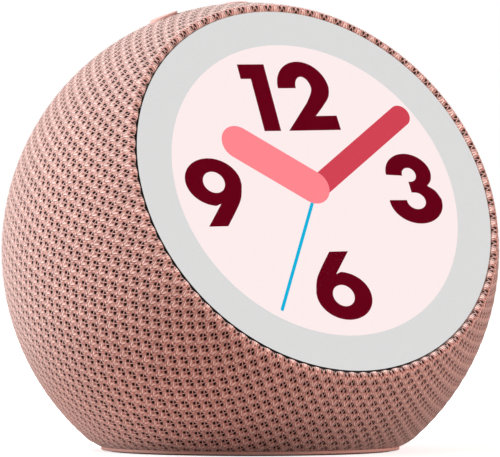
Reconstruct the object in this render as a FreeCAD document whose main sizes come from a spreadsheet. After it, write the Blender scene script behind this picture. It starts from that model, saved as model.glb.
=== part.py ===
import FreeCAD, Part
import math
import os
import Sketcher
from FreeCAD import Vector

# Talking clock: a ball covered in knit, with a round screen cut into its front.
# Millimetres. +Z is up, the screen looks towards -Y and leans back, and the origin is
# the centre of the circle on which the clock rests.

document = FreeCAD.newDocument("talking_clock")

# Driving dimensions, piece by piece. Heights in the screen's own frame are measured from
# the centre of the ball along the screen's normal.

driving = {
    # what sets most of the rest: glass, ball and the circle that it stands on
    "glass_radius": 43.4,
    "ball_margin": 11.6,
    "base_radius": 32.87,
    "screen_lean": 25.7,
    "border_width": 8.34,
    "overrun": 4.0,
    "glue_line": 0.05,
    # knit cover and rigid wall under it
    "cover_thickness": 0.9,
    "cover_turn_in": 4.4,
    "glass_gap": 0.45,
    "wall_thickness": 2.2,
    "lip_drop": 0.5,
    "ledge_drop": 4.45,
    "ledge_thickness": 1.8,
    "ledge_width": 7.35,
    "seam_tongue_height": 1.2,
    "seam_tongue_thickness": 1.0,
    "seam_clearance": 0.1,
    "gusset_thickness": 1.2,
    "gusset_depth": 7.0,
    "gusset_inset": 0.8,
    "shell_screw_inset": 9.84,
    "shell_screw_angle": 51.8,
    "shell_lug_radius": 2.9,
    "shell_lug_thickness": 2.6,
    "shell_pillar_length": 8.0,
    "shell_web_thickness": 1.6,
    # base plate and foot
    "foot_margin": 1.6,
    "foot_stand": 0.25,
    "foot_thickness": 0.85,
    "foot_clearance": 0.2,
    "rim_margin": 0.13,
    "rim_thickness": 0.75,
    "rim_round": 0.25,
    "rim_step": 0.8,
    "wall_seat_rise": 0.6,
    "plate_step": 3.1,
    "plate_raise": 1.0,
    "plate_floor": 1.6,
    "spigot_inset": 7.3,
    "spigot_wall": 1.6,
    "plate_clearance": 0.3,
    "floor_ring_thickness": 1.8,
    "base_screw_inset": 2.9,
    "base_boss_radius": 2.8,
    "base_boss_height": 9.0,
    # glass and its printed border
    "glass_rise": 0.15,
    "glass_thickness": 1.1,
    "glass_edge": 0.25,
    "print_thickness": 0.1,
    "print_margin": 0.15,
    # screen carrier
    "tape_thickness": 0.25,
    "tape_width": 1.7,
    "carrier_inset": 0.5,
    "carrier_wall": 1.9,
    "carrier_plate": 1.7,
    "carrier_seat_width": 6.0,
    "carrier_post_inset": 2.8,
    "carrier_post_radius": 2.4,
    "carrier_post_height": 6.0,
    "carrier_screw_inset": 1.5,
    "shell_boss_radius": 2.1,
    "shell_boss_height": 6.0,
    # screen module
    "panel_edge": 1.44,
    "panel_thickness": 2.3,
    "panel_tab_width": 22.0,
    "panel_tab_reach": 2.6,
    "tray_thickness": 0.4,
    # main board
    "board_gap": 1.0,
    "board_thickness": 1.6,
    "can_length": 34.0,
    "can_width": 28.0,
    "can_height": 2.4,
    "can_wall": 0.3,
    "can_offset": 4.0,
    "spreader_margin_long": 5.0,
    "spreader_margin_wide": 1.0,
    "spreader_thickness": 1.2,
    "spreader_groove_depth": 0.6,
    "spreader_groove_width": 2.0,
    "spreader_groove_pitch": 5.0,
    "connector_length": 8.0,
    "connector_width": 4.0,
    "connector_height": 2.6,
    "connector_inset": 8.9,
    # small screws
    "screw_radius": 0.9,
    "screw_head_radius": 1.7,
    "narrow_head_radius": 1.3,
    "screw_head_height": 1.0,
    "screw_length": 5.0,
    "screw_bite": 3.0,
    "screw_socket_radius": 0.8,
    "screw_socket_depth": 0.5,
    "screw_clearance": 0.1,
    "pilot_spare": 1.0,
    "base_screw_head_radius": 2.0,
    "base_screw_head_height": 1.1,
    "base_screw_radius": 1.1,
    "base_screw_bite": 4.45,
    # buttons and their board
    "button_pitch": 18.5,
    "button_back": 6.2,
    "button_radius": 3.0,
    "button_proud": 0.8,
    "button_hole_clearance": 0.3,
    "button_flange_width": 0.8,
    "button_flange_thickness": 1.0,
    "button_stem_radius": 1.3,
    "button_stem_length": 0.55,
    "button_play": 0.05,
    "button_travel": 0.35,
    "frame_drop": 6.75,
    "frame_thickness": 1.2,
    "frame_margin": 1.1,
    "frame_foot_radius": 2.2,
    "guide_clearance": 0.1,
    "plunger_radius": 0.8,
    "plunger_rise": 0.6,
    "plunger_depth": 0.9,
    "switch_side": 4.6,
    "switch_height": 1.4,
    "button_board_thickness": 1.2,
    "microphone_length": 3.6,
    "microphone_width": 2.8,
    "microphone_height": 1.1,
    "microphone_port_radius": 0.6,
    # loudspeaker
    "speaker_rise": 9.0,
    "seat_drop": 17.65,
    "seat_margin": 0.3,
    "seat_wall": 4.0,
    "gasket_thickness": 0.5,
    "flange_radius": 25.1,
    "flange_width": 2.8,
    "flange_thickness": 1.5,
    "flange_step_width": 1.7,
    "flange_step_depth": 0.7,
    "basket_wall": 1.0,
    "basket_depth": 11.4,
    "basket_floor_radius": 14.4,
    "window_half_angle": 32.0,
    "window_margin": 1.1,
    "basket_hole_gap": 2.7,
    "top_plate_inset": 1.0,
    "top_plate_thickness": 2.0,
    "magnet_radius": 15.0,
    "magnet_bore_gap": 1.9,
    "magnet_thickness": 6.5,
    "yoke_inset": 0.6,
    "yoke_thickness": 2.4,
    "pole_radius": 6.3,
    "coil_gap": 0.22,
    "former_wall": 0.2,
    "winding_thickness": 0.2,
    "winding_height": 3.4,
    "former_length": 9.6,
    "former_reach": 4.0,
    "cone_thickness": 0.45,
    "cap_rise": 2.2,
    "surround_roll": 1.5,
    "surround_thickness": 0.5,
    "surround_lap": 1.4,
    "spider_thickness": 0.3,
    "spider_wave": 0.7,
    "spider_rise": 0.9,
    # sound slots in the rear shell
    "slot_width": 2.0,
    "slot_pitch": 4.2,
    "slot_field_inset": 1.4,
    "slot_bar": 2.4,
    # power inlet
    "inlet_depth": 5.48,
    "inlet_recess_radius": 5.2,
    "inlet_wall": 1.2,
    "inlet_fit": 0.1,
    "inlet_plate": 1.4,
    "inlet_screw_gap": 1.9,
    "inlet_screw_edge": 1.5,
    "jack_nose_radius": 4.0,
    "jack_bore_radius": 2.85,
    "jack_bore_depth": 9.5,
    "jack_pin_radius": 1.0,
    "jack_pin_recess": 1.0,
    "jack_side": 9.0,
    "jack_depth": 11.0,
    "jack_plate": 1.4,
    "inlet_screw_short": 0.2,
    "inlet_screw_radius": 0.7,
}

sheet = document.addObject("Spreadsheet::Sheet", "sizes")
for row, (alias, number) in enumerate(driving.items(), start=1):
    sheet.set("A%d" % row, alias)
    sheet.set("B%d" % row, str(number))
    sheet.setAlias("B%d" % row, alias)
document.recompute()


class Size:
    """A number together with the formula that gives it from the sheet's cells."""

    def __init__(self, value, formula):
        self.value = value
        self.formula = formula

    def joined(self, sign, other, value):
        return Size(value, "(%s %s %s)" % (self.formula, sign, sized(other).formula))

    def __add__(self, other):
        return self.joined("+", other, self.value + sized(other).value)

    def __sub__(self, other):
        return self.joined("-", other, self.value - sized(other).value)

    def __mul__(self, other):
        return self.joined("*", other, self.value * sized(other).value)

    def __truediv__(self, other):
        return self.joined("/", other, self.value / sized(other).value)

    def __neg__(self):
        return sized(0) - self


def sized(number):
    """A plain count or share as a Size."""
    if isinstance(number, Size):
        return number
    return Size(float(number), repr(float(number)))


def root(size):
    return Size(math.sqrt(size.value), "sqrt(%s)" % size.formula)


def sine(angle):
    return Size(math.sin(math.radians(angle.value)), "sin(%s)" % angle.formula)


def cosine(angle):
    return Size(math.cos(math.radians(angle.value)), "cos(%s)" % angle.formula)


def other_leg(long_side, leg):
    """The second leg of a right triangle: a sphere's radius at some height, or the reverse."""
    return root(long_side * long_side - leg * leg)


class Cells:
    """The sheet's cells by name."""


s = Cells()
for alias in driving:
    setattr(s, alias, Size(sheet.get(alias), "sizes." + alias))

zero = sized(0)
diagonal = root(sized(0.5))

# Places that several pieces share

ball_radius = s.glass_radius + s.ball_margin
centre_height = other_leg(ball_radius, s.base_radius)
lip_radius = s.glass_radius + s.glass_gap + s.cover_thickness
picture_radius = s.glass_radius - s.border_width
panel_radius = picture_radius + s.panel_edge
ledge_inner_radius = lip_radius - s.ledge_width
carrier_radius = s.glass_radius - s.carrier_inset
carrier_inner_radius = panel_radius - s.carrier_seat_width
carrier_post_circle = carrier_inner_radius + s.carrier_post_inset
carrier_screw_circle = carrier_radius - s.carrier_wall - s.carrier_screw_inset
board_radius = ledge_inner_radius - s.board_gap
connector_place = board_radius - s.connector_inset
rim_radius = s.base_radius + s.rim_margin
foot_radius = rim_radius - s.foot_margin
plate_raised_radius = rim_radius - s.plate_step
plate_spigot_radius = plate_raised_radius - s.spigot_inset
base_screw_circle = plate_raised_radius - s.base_screw_inset
wall_outer = ball_radius - s.cover_thickness - s.glue_line
wall_inner = wall_outer - s.wall_thickness
fold_radius = s.cover_thickness
fold_height = other_leg(ball_radius - fold_radius, lip_radius)
glass_front = fold_height + fold_radius + s.glass_rise
glass_back = glass_front - s.glass_thickness
print_back = glass_back - s.print_thickness
carrier_top = print_back - s.tape_thickness
ledge_top = carrier_top - s.ledge_drop
ledge_bottom = ledge_top - s.ledge_thickness
lip_top = fold_height - s.lip_drop
tray_back = print_back - s.panel_thickness - s.tray_thickness
carrier_plate_top = tray_back
carrier_plate_bottom = carrier_plate_top - s.carrier_plate
board_front = carrier_plate_bottom - s.carrier_post_height
board_back = board_front - s.board_thickness
rim_top = s.foot_stand + s.rim_thickness
wall_seat = rim_top + s.wall_seat_rise
floor_bottom = wall_seat + s.plate_raise
floor_top = floor_bottom + s.floor_ring_thickness
floor_inner = plate_spigot_radius + s.plate_clearance
base_screw_length = floor_top - s.foot_thickness + s.base_screw_bite
frame_top = wall_inner - s.frame_drop
seat_plane = wall_inner - s.seat_drop
speaker_height = centre_height + s.speaker_rise
flange_front = seat_plane - s.gasket_thickness
flange_back = flange_front - s.flange_thickness
basket_back = flange_back - s.basket_depth
yoke_front = basket_back - s.top_plate_thickness - s.magnet_thickness
flange_inner = s.flange_radius - s.flange_width
mouth_radius = flange_inner - s.flange_step_width
speaker_screw_circle = (s.flange_radius + flange_inner) / 2
seat_radius = s.flange_radius + s.seat_margin
magnet_bore = s.pole_radius + s.magnet_bore_gap
yoke_radius = s.magnet_radius - s.yoke_inset
slot_field_radius = seat_radius - s.seat_wall - s.slot_field_inset
shell_screw_away = wall_inner - s.shell_screw_inset
shell_screw_across = shell_screw_away * cosine(s.shell_screw_angle)
shell_screw_rise = shell_screw_away * sine(s.shell_screw_angle)
frame_screw_place = s.button_pitch / 2
microphone_place = (frame_screw_place + s.button_pitch) / 2
inlet_screw_place = s.inlet_recess_radius + s.inlet_screw_gap
inlet_plate_half = inlet_screw_place + s.inlet_screw_edge
button_hole_radius = s.button_radius + s.button_hole_clearance
button_flange_radius = s.button_radius + s.button_flange_width
inlet_outer_radius = s.inlet_recess_radius + s.inlet_wall
# the inlet is where the screen's axis leaves the ball at the back, and the knit closes on it
inlet_height = centre_height - ball_radius * sine(s.screen_lean)
inlet_floor = other_leg(ball_radius, centre_height - inlet_height + s.inlet_recess_radius) - s.inlet_depth
jack_back = inlet_floor - s.inlet_plate - s.jack_plate - s.jack_depth
spreader_back = board_back - s.can_height - s.spreader_thickness
connector_back = board_back - s.connector_height


# Helpers that draw, build and place

class Corner:
    """A corner of an outline; arc is the centre and radius of the edge that arrives there."""

    def __init__(self, x, y, arc=None):
        self.x = sized(x)
        self.y = sized(y)
        self.arc = arc


class Ring:
    """A circle in a sketch."""

    def __init__(self, x, y, radius):
        self.x = sized(x)
        self.y = sized(y)
        self.radius = radius


def bind(thing, name, size):
    thing.setExpression(name, size.formula)


def fix(sketch, kind, edge, end, size):
    """Ties one coordinate of a point to its formula."""
    if size.value == 0 and size.formula == zero.formula:
        axis = -2 if kind == "DistanceX" else -1
        sketch.addConstraint(Sketcher.Constraint("PointOnObject", edge, end, axis))
        return
    if size.value < 0:
        number = sketch.addConstraint(Sketcher.Constraint(kind, edge, end, -1, 1, -size.value))
        sketch.setExpression("Constraints[%d]" % number, (-size).formula)
    else:
        number = sketch.addConstraint(Sketcher.Constraint(kind, -1, 1, edge, end, size.value))
        sketch.setExpression("Constraints[%d]" % number, size.formula)


def draw_ring(sketch, ring):
    centre = Vector(ring.x.value, ring.y.value, 0)
    edge = sketch.addGeometry(Part.Circle(centre, Vector(0, 0, 1), ring.radius.value))
    fix(sketch, "DistanceX", edge, 3, ring.x)
    fix(sketch, "DistanceY", edge, 3, ring.y)
    number = sketch.addConstraint(Sketcher.Constraint("Radius", edge, ring.radius.value))
    sketch.setExpression("Constraints[%d]" % number, ring.radius.formula)


def draw_outline(sketch, corners):
    """Draws a closed outline of straight edges and arcs of under half a circle."""
    edges = []
    for place, corner in enumerate(corners):
        before = corners[place - 1]
        start = Vector(before.x.value, before.y.value, 0)
        end = Vector(corner.x.value, corner.y.value, 0)
        if corner.arc is None:
            edge = sketch.addGeometry(Part.LineSegment(start, end))
            edges.append((edge, 1, 2))
            continue
        centre_x, centre_y, radius = corner.arc
        centre = Vector(sized(centre_x).value, sized(centre_y).value, 0)
        first = math.atan2(start.y - centre.y, start.x - centre.x)
        last = math.atan2(end.y - centre.y, end.x - centre.x)
        leftward = (start - centre).cross(end - centre).z > 0
        if not leftward:
            first, last = last, first
        circle = Part.Circle(centre, Vector(0, 0, 1), radius.value)
        edge = sketch.addGeometry(Part.ArcOfCircle(circle, first, last))
        edges.append((edge, 1, 2) if leftward else (edge, 2, 1))
        number = sketch.addConstraint(Sketcher.Constraint("Radius", edge, radius.value))
        sketch.setExpression("Constraints[%d]" % number, radius.formula)
    for place, (edge, _, end) in enumerate(edges):
        following, start, _ = edges[(place + 1) % len(edges)]
        sketch.addConstraint(Sketcher.Constraint("Coincident", edge, end, following, start))
        fix(sketch, "DistanceX", edge, end, corners[place].x)
        fix(sketch, "DistanceY", edge, end, corners[place].y)


def new_sketch(body, plane, shapes, lift=zero):
    """A sketch on one of the body's own planes, raised by lift along the plane's normal."""
    sketch = body.newObject("Sketcher::SketchObject", body.Name + "_sketch")
    support = [part for part in body.Origin.OriginFeatures if part.Role == plane][0]
    sketch.AttachmentSupport = [(support, "")]
    sketch.MapMode = "FlatFace"
    bind(sketch, ".AttachmentOffset.Base.z", lift)
    for shape in shapes:
        if isinstance(shape, Ring):
            draw_ring(sketch, shape)
        else:
            draw_outline(sketch, shape)
    return sketch


def new_body(label):
    body = document.addObject("PartDesign::Body", label)
    body.Label = label
    return body


def revolve(label, corners):
    """A piece turned about its own Z axis from an outline of radii and heights."""
    body = new_body(label)
    turning = body.newObject("PartDesign::Revolution", label + "_turning")
    turning.Profile = new_sketch(body, "XZ_Plane", [corners])
    turning.ReferenceAxis = (turning.Profile[0], ["V_Axis"])
    turning.Angle = 360
    body.Tip = turning
    return body


def pad(label, shapes, thickness, lift=zero):
    """A flat piece: shapes drawn at height lift and given a thickness upwards."""
    body = new_body(label)
    add_pad(body, shapes, thickness, lift)
    return body


def add_pad(body, shapes, thickness, lift):
    block = body.newObject("PartDesign::Pad", body.Name + "_pad")
    block.Profile = new_sketch(body, "XY_Plane", shapes, lift)
    bind(block, "Length", thickness)
    body.Tip = block
    return block


def add_pocket(body, shapes, depth, lift):
    """Cuts shapes drawn at height lift downwards by depth."""
    document.recompute()
    volume = body.Shape.Volume
    pocket = body.newObject("PartDesign::Pocket", body.Name + "_pocket")
    pocket.Profile = new_sketch(body, "XY_Plane", shapes, lift)
    bind(pocket, "Length", depth)
    body.Tip = pocket
    document.recompute()
    if body.Shape.Volume >= volume:
        raise ValueError("a pocket of %s cuts nothing" % body.Label)
    return pocket


def repeat_round(body, feature, count):
    """Repeats a feature evenly round the body's Z axis."""
    pattern = body.newObject("PartDesign::PolarPattern", body.Name + "_pattern")
    pattern.Originals = [feature]
    pattern.Axis = (feature.Profile[0], ["N_Axis"])
    pattern.Angle = 360
    pattern.Occurrences = count
    body.Tip = pattern
    return pattern


def box(label, x, y, z):
    """A block from three (low, high) pairs."""
    block = document.addObject("Part::Box", label)
    block.Label = label
    for side, axis, (low, high) in zip(("Length", "Width", "Height"), "xyz", (x, y, z)):
        bind(block, side, sized(high) - low)
        bind(block, ".Placement.Base." + axis, sized(low))
    return block


def cylinder(label, radius, low, high, x=zero, y=zero):
    tube = document.addObject("Part::Cylinder", label)
    tube.Label = label
    bind(tube, "Radius", radius)
    bind(tube, "Height", high - low)
    bind(tube, ".Placement.Base.x", sized(x))
    bind(tube, ".Placement.Base.y", sized(y))
    bind(tube, ".Placement.Base.z", sized(low))
    return tube


def sphere(label, radius):
    ball = document.addObject("Part::Sphere", label)
    ball.Label = label
    bind(ball, "Radius", radius)
    return ball


def raise_by(thing, height):
    bind(thing, ".Placement.Base.z", height)
    return thing


def in_screen_frame(thing):
    """Turns a piece so that its Z axis is the screen's normal, from the ball's centre."""
    thing.Placement = FreeCAD.Placement(Vector(0, 0, 0), FreeCAD.Rotation(Vector(1, 0, 0), 1))
    bind(thing, ".Placement.Rotation.Angle", sized(90) - s.screen_lean)
    return raise_by(thing, centre_height)


def facing_back(thing, height):
    """Turns a piece so that its Z axis points to the back, at a height above the table."""
    thing.Placement = FreeCAD.Placement(Vector(0, 0, 0), FreeCAD.Rotation(Vector(1, 0, 0), -90))
    return raise_by(thing, height)


def cut(label, base, *tools):
    """Takes tools away from base."""
    for number, tool in enumerate(tools, start=1):
        result = document.addObject("Part::Cut", "%s_cut" % label)
        result.Base = base
        result.Tool = tool
        base = result
    base.Label = label
    return base


def fuse(label, *pieces):
    result = document.addObject("Part::MultiFuse", "%s_union" % label)
    result.Shapes = list(pieces)
    result.Label = label
    return result


def common(label, first, second):
    result = document.addObject("Part::Common", "%s_common" % label)
    result.Base = first
    result.Tool = second
    result.Label = label
    return result


def four_corners(circle):
    """Four places on a circle, midway between the axes."""
    reach = circle * diagonal
    return [(reach, reach), (-reach, reach), (-reach, -reach), (reach, -reach)]


def rings(places, radius):
    return [Ring(x, y, radius) for x, y in places]


def rectangle(half_length, half_width, x=zero, y=zero):
    x = sized(x)
    y = sized(y)
    return [
        Corner(x - half_length, y - half_width),
        Corner(x + half_length, y - half_width),
        Corner(x + half_length, y + half_width),
        Corner(x - half_length, y + half_width),
    ]


def group(label, pieces):
    """One node of several separate solids that are alike."""
    result = document.addObject("Part::Compound", "%s_set" % label)
    result.Links = list(pieces)
    result.Label = label
    return result


def pan_screw(label, x, y, seat, length, head_radius=s.screw_head_radius, radius=s.screw_radius):
    """A pan-head screw whose head rests on the height seat and whose shank points down."""
    x = sized(x)
    y = sized(y)
    head_top = seat + s.screw_head_height
    body = new_body(label)
    add_pad(body, [Ring(x, y, radius)], length + s.screw_head_height / 2, seat - length)
    add_pad(body, [Ring(x, y, head_radius)], s.screw_head_height, seat)
    add_pocket(body, [Ring(x, y, s.screw_socket_radius)], s.screw_socket_depth, head_top)
    return body


pieces = []


def keep(thing, label=None):
    """Puts a finished piece on the list of nodes."""
    if label:
        thing.Label = label
    pieces.append(thing)
    return thing


# Knit cover: one stretched sock, turned in over the lip of the screen opening

def knit_cover():
    low = glass_front - s.cover_turn_in - s.glass_rise - fold_radius
    tangent_share = ball_radius / (ball_radius - fold_radius)
    inner = wall_outer + s.glue_line
    wrap = lip_radius - s.glue_line
    seat = lip_top + s.glue_line
    body = revolve("knit_sock", [
        Corner(wrap, low),
        Corner(wrap, seat),
        Corner(other_leg(inner, seat), seat),
        Corner(0, -inner, (0, 0, inner)),
        Corner(0, -ball_radius),
        Corner(lip_radius * tangent_share, fold_height * tangent_share, (0, 0, ball_radius)),
        Corner(lip_radius - fold_radius, fold_height, (lip_radius, fold_height, fold_radius)),
        Corner(lip_radius - fold_radius, low),
    ])
    in_screen_frame(body)
    span = ball_radius + s.overrun
    below = box("below_cover", (-span, span), (-span, span), (-span, rim_top))
    holes = button_holes("cover_button_holes", button_hole_radius)
    window = facing_back(pad("cover_inlet_hole", [Ring(0, 0, inlet_outer_radius + s.inlet_fit)], span),
                         inlet_height)
    keep(cut("knit_cover", body, below, holes, window))


def button_places():
    return [(-s.button_pitch, s.button_back), (zero, s.button_back), (s.button_pitch, s.button_back)]


def button_holes(label, radius):
    """Three upright cutters, one for each button."""
    return raise_by(pad(label, rings(button_places(), radius), ball_radius), centre_height + s.overrun)


# Rigid wall of the ball: turned about the screen's axis, then split at an upright seam

def ball_wall(label):
    body = revolve(label, [
        Corner(lip_radius, ledge_top),
        Corner(lip_radius, lip_top),
        Corner(other_leg(wall_outer, lip_top), lip_top),
        Corner(0, -wall_outer, (0, 0, wall_outer)),
        Corner(0, -wall_inner),
        Corner(other_leg(wall_inner, ledge_bottom), ledge_bottom, (0, 0, wall_inner)),
        Corner(ledge_inner_radius, ledge_bottom),
        Corner(ledge_inner_radius, ledge_top),
    ])
    return in_screen_frame(body)


def floor_ring(label):
    """Flange inside the base opening that carries the base screws' bosses."""
    middle = wall_outer - s.wall_thickness / 2
    outer = other_leg(middle, centre_height - floor_bottom)
    return revolve(label, [
        Corner(floor_inner, floor_bottom),
        Corner(outer, floor_bottom),
        Corner(outer, floor_top),
        Corner(floor_inner, floor_top),
    ])


def base_bosses(label, side):
    """Two round bosses on the floor ring, on the front (-1) or rear (1) half."""
    reach = base_screw_circle * diagonal
    places = [(reach, reach * side), (-reach, reach * side)]
    return pad(label, rings(places, s.base_boss_radius), s.base_boss_height, floor_top - s.floor_ring_thickness / 2)


def base_pilots(label):
    return pad(label, rings(four_corners(base_screw_circle), s.base_screw_radius),
               base_screw_length, zero)


def seam_ring(label, clearance, height):
    """The tongue of the seam, or with a clearance the groove that takes it."""
    middle = wall_outer - s.wall_thickness / 2
    half = s.seam_tongue_thickness / 2 + clearance
    body = pad(label, [Ring(0, 0, middle + half), Ring(0, 0, middle - half)],
               height + s.overrun / 8, -s.overrun / 8)
    return facing_back(body, centre_height)


def half_space(label, side):
    span = ball_radius + s.overrun
    depth = (-span, zero) if side < 0 else (zero, span)
    return box(label, (-span, span), depth, (-span, span + span))


def gussets():
    """Eight thin ribs under the ledge, midway between the carrier's bosses."""
    count = 8
    middle = wall_outer - s.wall_thickness / 2
    inside = ledge_inner_radius + s.gusset_inset
    high = ledge_bottom + s.ledge_thickness / 2
    low = ledge_bottom - s.gusset_depth
    zone = revolve("gusset_zone", [
        Corner(inside, high),
        Corner(inside, ledge_bottom),
        Corner(other_leg(wall_inner, low), low),
        Corner(other_leg(middle, low), low),
        Corner(other_leg(middle, high), high, (0, 0, middle)),
    ])
    blades = new_body("gusset_blades")
    start = ledge_inner_radius
    blade = add_pad(blades, [rectangle((ball_radius - start) / 2, s.gusset_thickness / 2,
                                       (ball_radius + start) / 2)],
                    s.gusset_depth + s.ledge_thickness, low)
    repeat_round(blades, blade, count)
    bind(blades, ".Placement.Rotation.Angle", sized(180) / count)
    return in_screen_frame(common("gussets", zone, blades))


def shell_lug(label, side, low, high):
    """A screw lug on a web that reaches out to the wall; side is -1 left, 1 right."""
    x = shell_screw_across * side
    z = shell_screw_rise
    away = root(x * x + z * z)
    half = s.shell_web_thickness / 2
    far = wall_outer / away
    step_x = z / away * half
    step_z = x / away * half
    web = [
        Corner(x - step_x, -z - step_z),
        Corner(x * far - step_x, -(z * far) - step_z),
        Corner(x * far + step_x, -(z * far) + step_z),
        Corner(x + step_x, -z + step_z),
    ]
    body = pad(label, [Ring(x, -z, s.shell_lug_radius)], high - low, low)
    add_pad(body, [web], high - low, low)
    return facing_back(body, centre_height)


def shell_lugs(label, low, high):
    """The left and right lugs of one half, trimmed inside the wall."""
    pair = fuse(label + "_pair", shell_lug(label + "_left", -1, low, high),
                shell_lug(label + "_right", 1, low, high))
    middle = raise_by(sphere(label + "_trim", wall_outer - s.wall_thickness / 2), centre_height)
    return common(label, pair, middle)


def shell_screw_places():
    return [(-shell_screw_across, -shell_screw_rise), (shell_screw_across, -shell_screw_rise)]


def shell_screw_holes(label, radius, depth, low):
    return facing_back(pad(label, rings(shell_screw_places(), radius), depth, low), centre_height)


def shell_screws():
    screws = []
    for number, (x, y) in enumerate(shell_screw_places()):
        screw = pan_screw("shell_screw_%d" % number, x, -y, s.shell_lug_thickness,
                          s.shell_lug_thickness + s.screw_length)
        screw.Placement = FreeCAD.Placement(Vector(0, 0, 0), FreeCAD.Rotation(Vector(1, 0, 0), 90))
        screws.append(raise_by(screw, centre_height))
    keep(group("shell_screws", screws))


def base_opening(label):
    """Everything below the wall's seat, and the round hole that the base plate fills."""
    span = ball_radius + s.overrun
    below = box(label + "_below", (-span, span), (-span, span), (-span, wall_seat))
    hole = cylinder(label + "_hole", plate_raised_radius + s.plate_clearance, zero, floor_bottom)
    return fuse(label, below, hole)


def front_shell():
    wall = ball_wall("front_wall")
    bosses = in_screen_frame(pad("carrier_bosses", rings(four_corners(carrier_screw_circle), s.shell_boss_radius),
                                 s.shell_boss_height, ledge_bottom - s.shell_boss_height + s.ledge_thickness / 2))
    half = common("front_half", fuse("front_wall_with_bosses", wall, bosses, gussets(),
                                     floor_ring("front_floor_ring")),
                  half_space("front_space", -1))
    tongue = common("seam_tongue_trimmed", seam_ring("seam_tongue", zero, s.seam_tongue_height),
                    above_base("tongue_space"))
    shell = fuse("front_shell_solid", half, base_bosses("front_base_bosses", -1), tongue,
                 shell_lugs("front_lugs", -s.shell_lug_thickness, zero))
    pilot_depth = s.screw_bite + s.pilot_spare
    screw_holes = in_screen_frame(pad("carrier_pilots",
                                      rings(four_corners(carrier_screw_circle), s.screw_radius),
                                      pilot_depth + s.overrun, ledge_top - pilot_depth))
    lug_holes = shell_screw_holes("front_lug_holes", s.screw_radius + s.screw_clearance,
                                  s.shell_lug_thickness + s.overrun, -s.shell_lug_thickness - s.overrun / 2)
    holes = fuse("front_holes", screw_holes, lug_holes, base_pilot_cut("front_base_pilots"),
                 base_opening("front_base_opening"))
    keep(cut("front_shell", shell, holes))


def above_base(label):
    span = ball_radius + s.overrun
    return box(label, (-span, span), (-span, span), (floor_top, span + span))


def base_pilot_cut(label):
    cutter = base_pilots(label)
    return raise_by(cutter, floor_bottom - s.overrun / 4)


def sound_slots():
    """Upright slots in two rows, drawn inside a circle on the speaker's axis."""
    count = int(slot_field_radius.value / s.slot_pitch.value)
    shapes = []
    half = s.slot_width / 2
    for place in range(-count, count + 1):
        x = s.slot_pitch * place
        reach = other_leg(slot_field_radius, s.slot_pitch * abs(place))
        middle = (reach + s.slot_bar / 2) / 2
        shapes.append(rectangle(half, middle - s.slot_bar / 2, x, middle))
        shapes.append(rectangle(half, middle - s.slot_bar / 2, x, -middle))
    return facing_back(pad("sound_slots", shapes, ball_radius, seat_plane), speaker_height)


def speaker_seat():
    """Short tube inside the rear shell that the loudspeaker is screwed to."""
    inner = seat_radius - s.seat_wall
    tube = facing_back(pad("seat_tube", [Ring(0, 0, seat_radius), Ring(0, 0, inner)],
                           ball_radius - seat_plane, seat_plane), speaker_height)
    middle = raise_by(sphere("seat_trim", wall_outer - s.wall_thickness / 2), centre_height)
    return common("speaker_seat", tube, middle)


def hangers():
    """Two pillars hanging from the shell's roof for the button frame's screws."""
    places = [(-frame_screw_place, s.button_back), (frame_screw_place, s.button_back)]
    pillars = raise_by(pad("hanger_pillars", rings(places, s.frame_foot_radius), wall_inner - frame_top,
                           frame_top), centre_height)
    roof = raise_by(sphere("hanger_trim", wall_outer - s.wall_thickness / 2), centre_height)
    return common("hangers", pillars, roof)


def rear_shell():
    wall = common("rear_half", fuse("rear_wall_with_ring", ball_wall("rear_wall"), floor_ring("rear_floor_ring")),
                  half_space("rear_space", 1))
    shell = fuse("rear_shell_solid", wall, speaker_seat(), hangers(), base_bosses("rear_base_bosses", 1),
                 shell_lugs("rear_lugs", zero, s.shell_pillar_length))
    groove_height = s.seam_tongue_height + s.seam_clearance
    groove = seam_ring("seam_groove", s.seam_clearance, groove_height)
    inlet_hole = facing_back(pad("shell_inlet_hole", [Ring(0, 0, inlet_outer_radius + s.inlet_fit)],
                                 ball_radius - inlet_floor, inlet_floor - s.inlet_plate), inlet_height)
    lug_pilots = shell_screw_holes("rear_lug_pilots", s.screw_radius, s.screw_length + s.overrun, -s.overrun)
    speaker_pilots = facing_back(pad("speaker_pilots",
                                     rings(four_corners(speaker_screw_circle), s.screw_radius),
                                     s.screw_length, seat_plane - s.overrun / 8), speaker_height)
    places = [(-frame_screw_place, s.button_back), (frame_screw_place, s.button_back)]
    frame_pilots = raise_by(pad("frame_pilots", rings(places, s.screw_radius),
                                s.screw_length, frame_top - s.overrun / 8), centre_height)
    ports = [(-microphone_place, s.button_back), (microphone_place, s.button_back)]
    sound_ports = raise_by(pad("microphone_ports", rings(ports, s.microphone_port_radius),
                               ball_radius), centre_height + s.overrun)
    holes = fuse("rear_holes", groove, base_opening("rear_base_opening"), sound_slots(),
                 button_holes("shell_button_holes", button_hole_radius), inlet_hole, lug_pilots,
                 speaker_pilots, frame_pilots, sound_ports, base_pilot_cut("rear_base_pilots"))
    keep(cut("rear_shell", shell, holes))


# Base plate with the smooth rim that shows, its rubber foot and its screws

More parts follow.
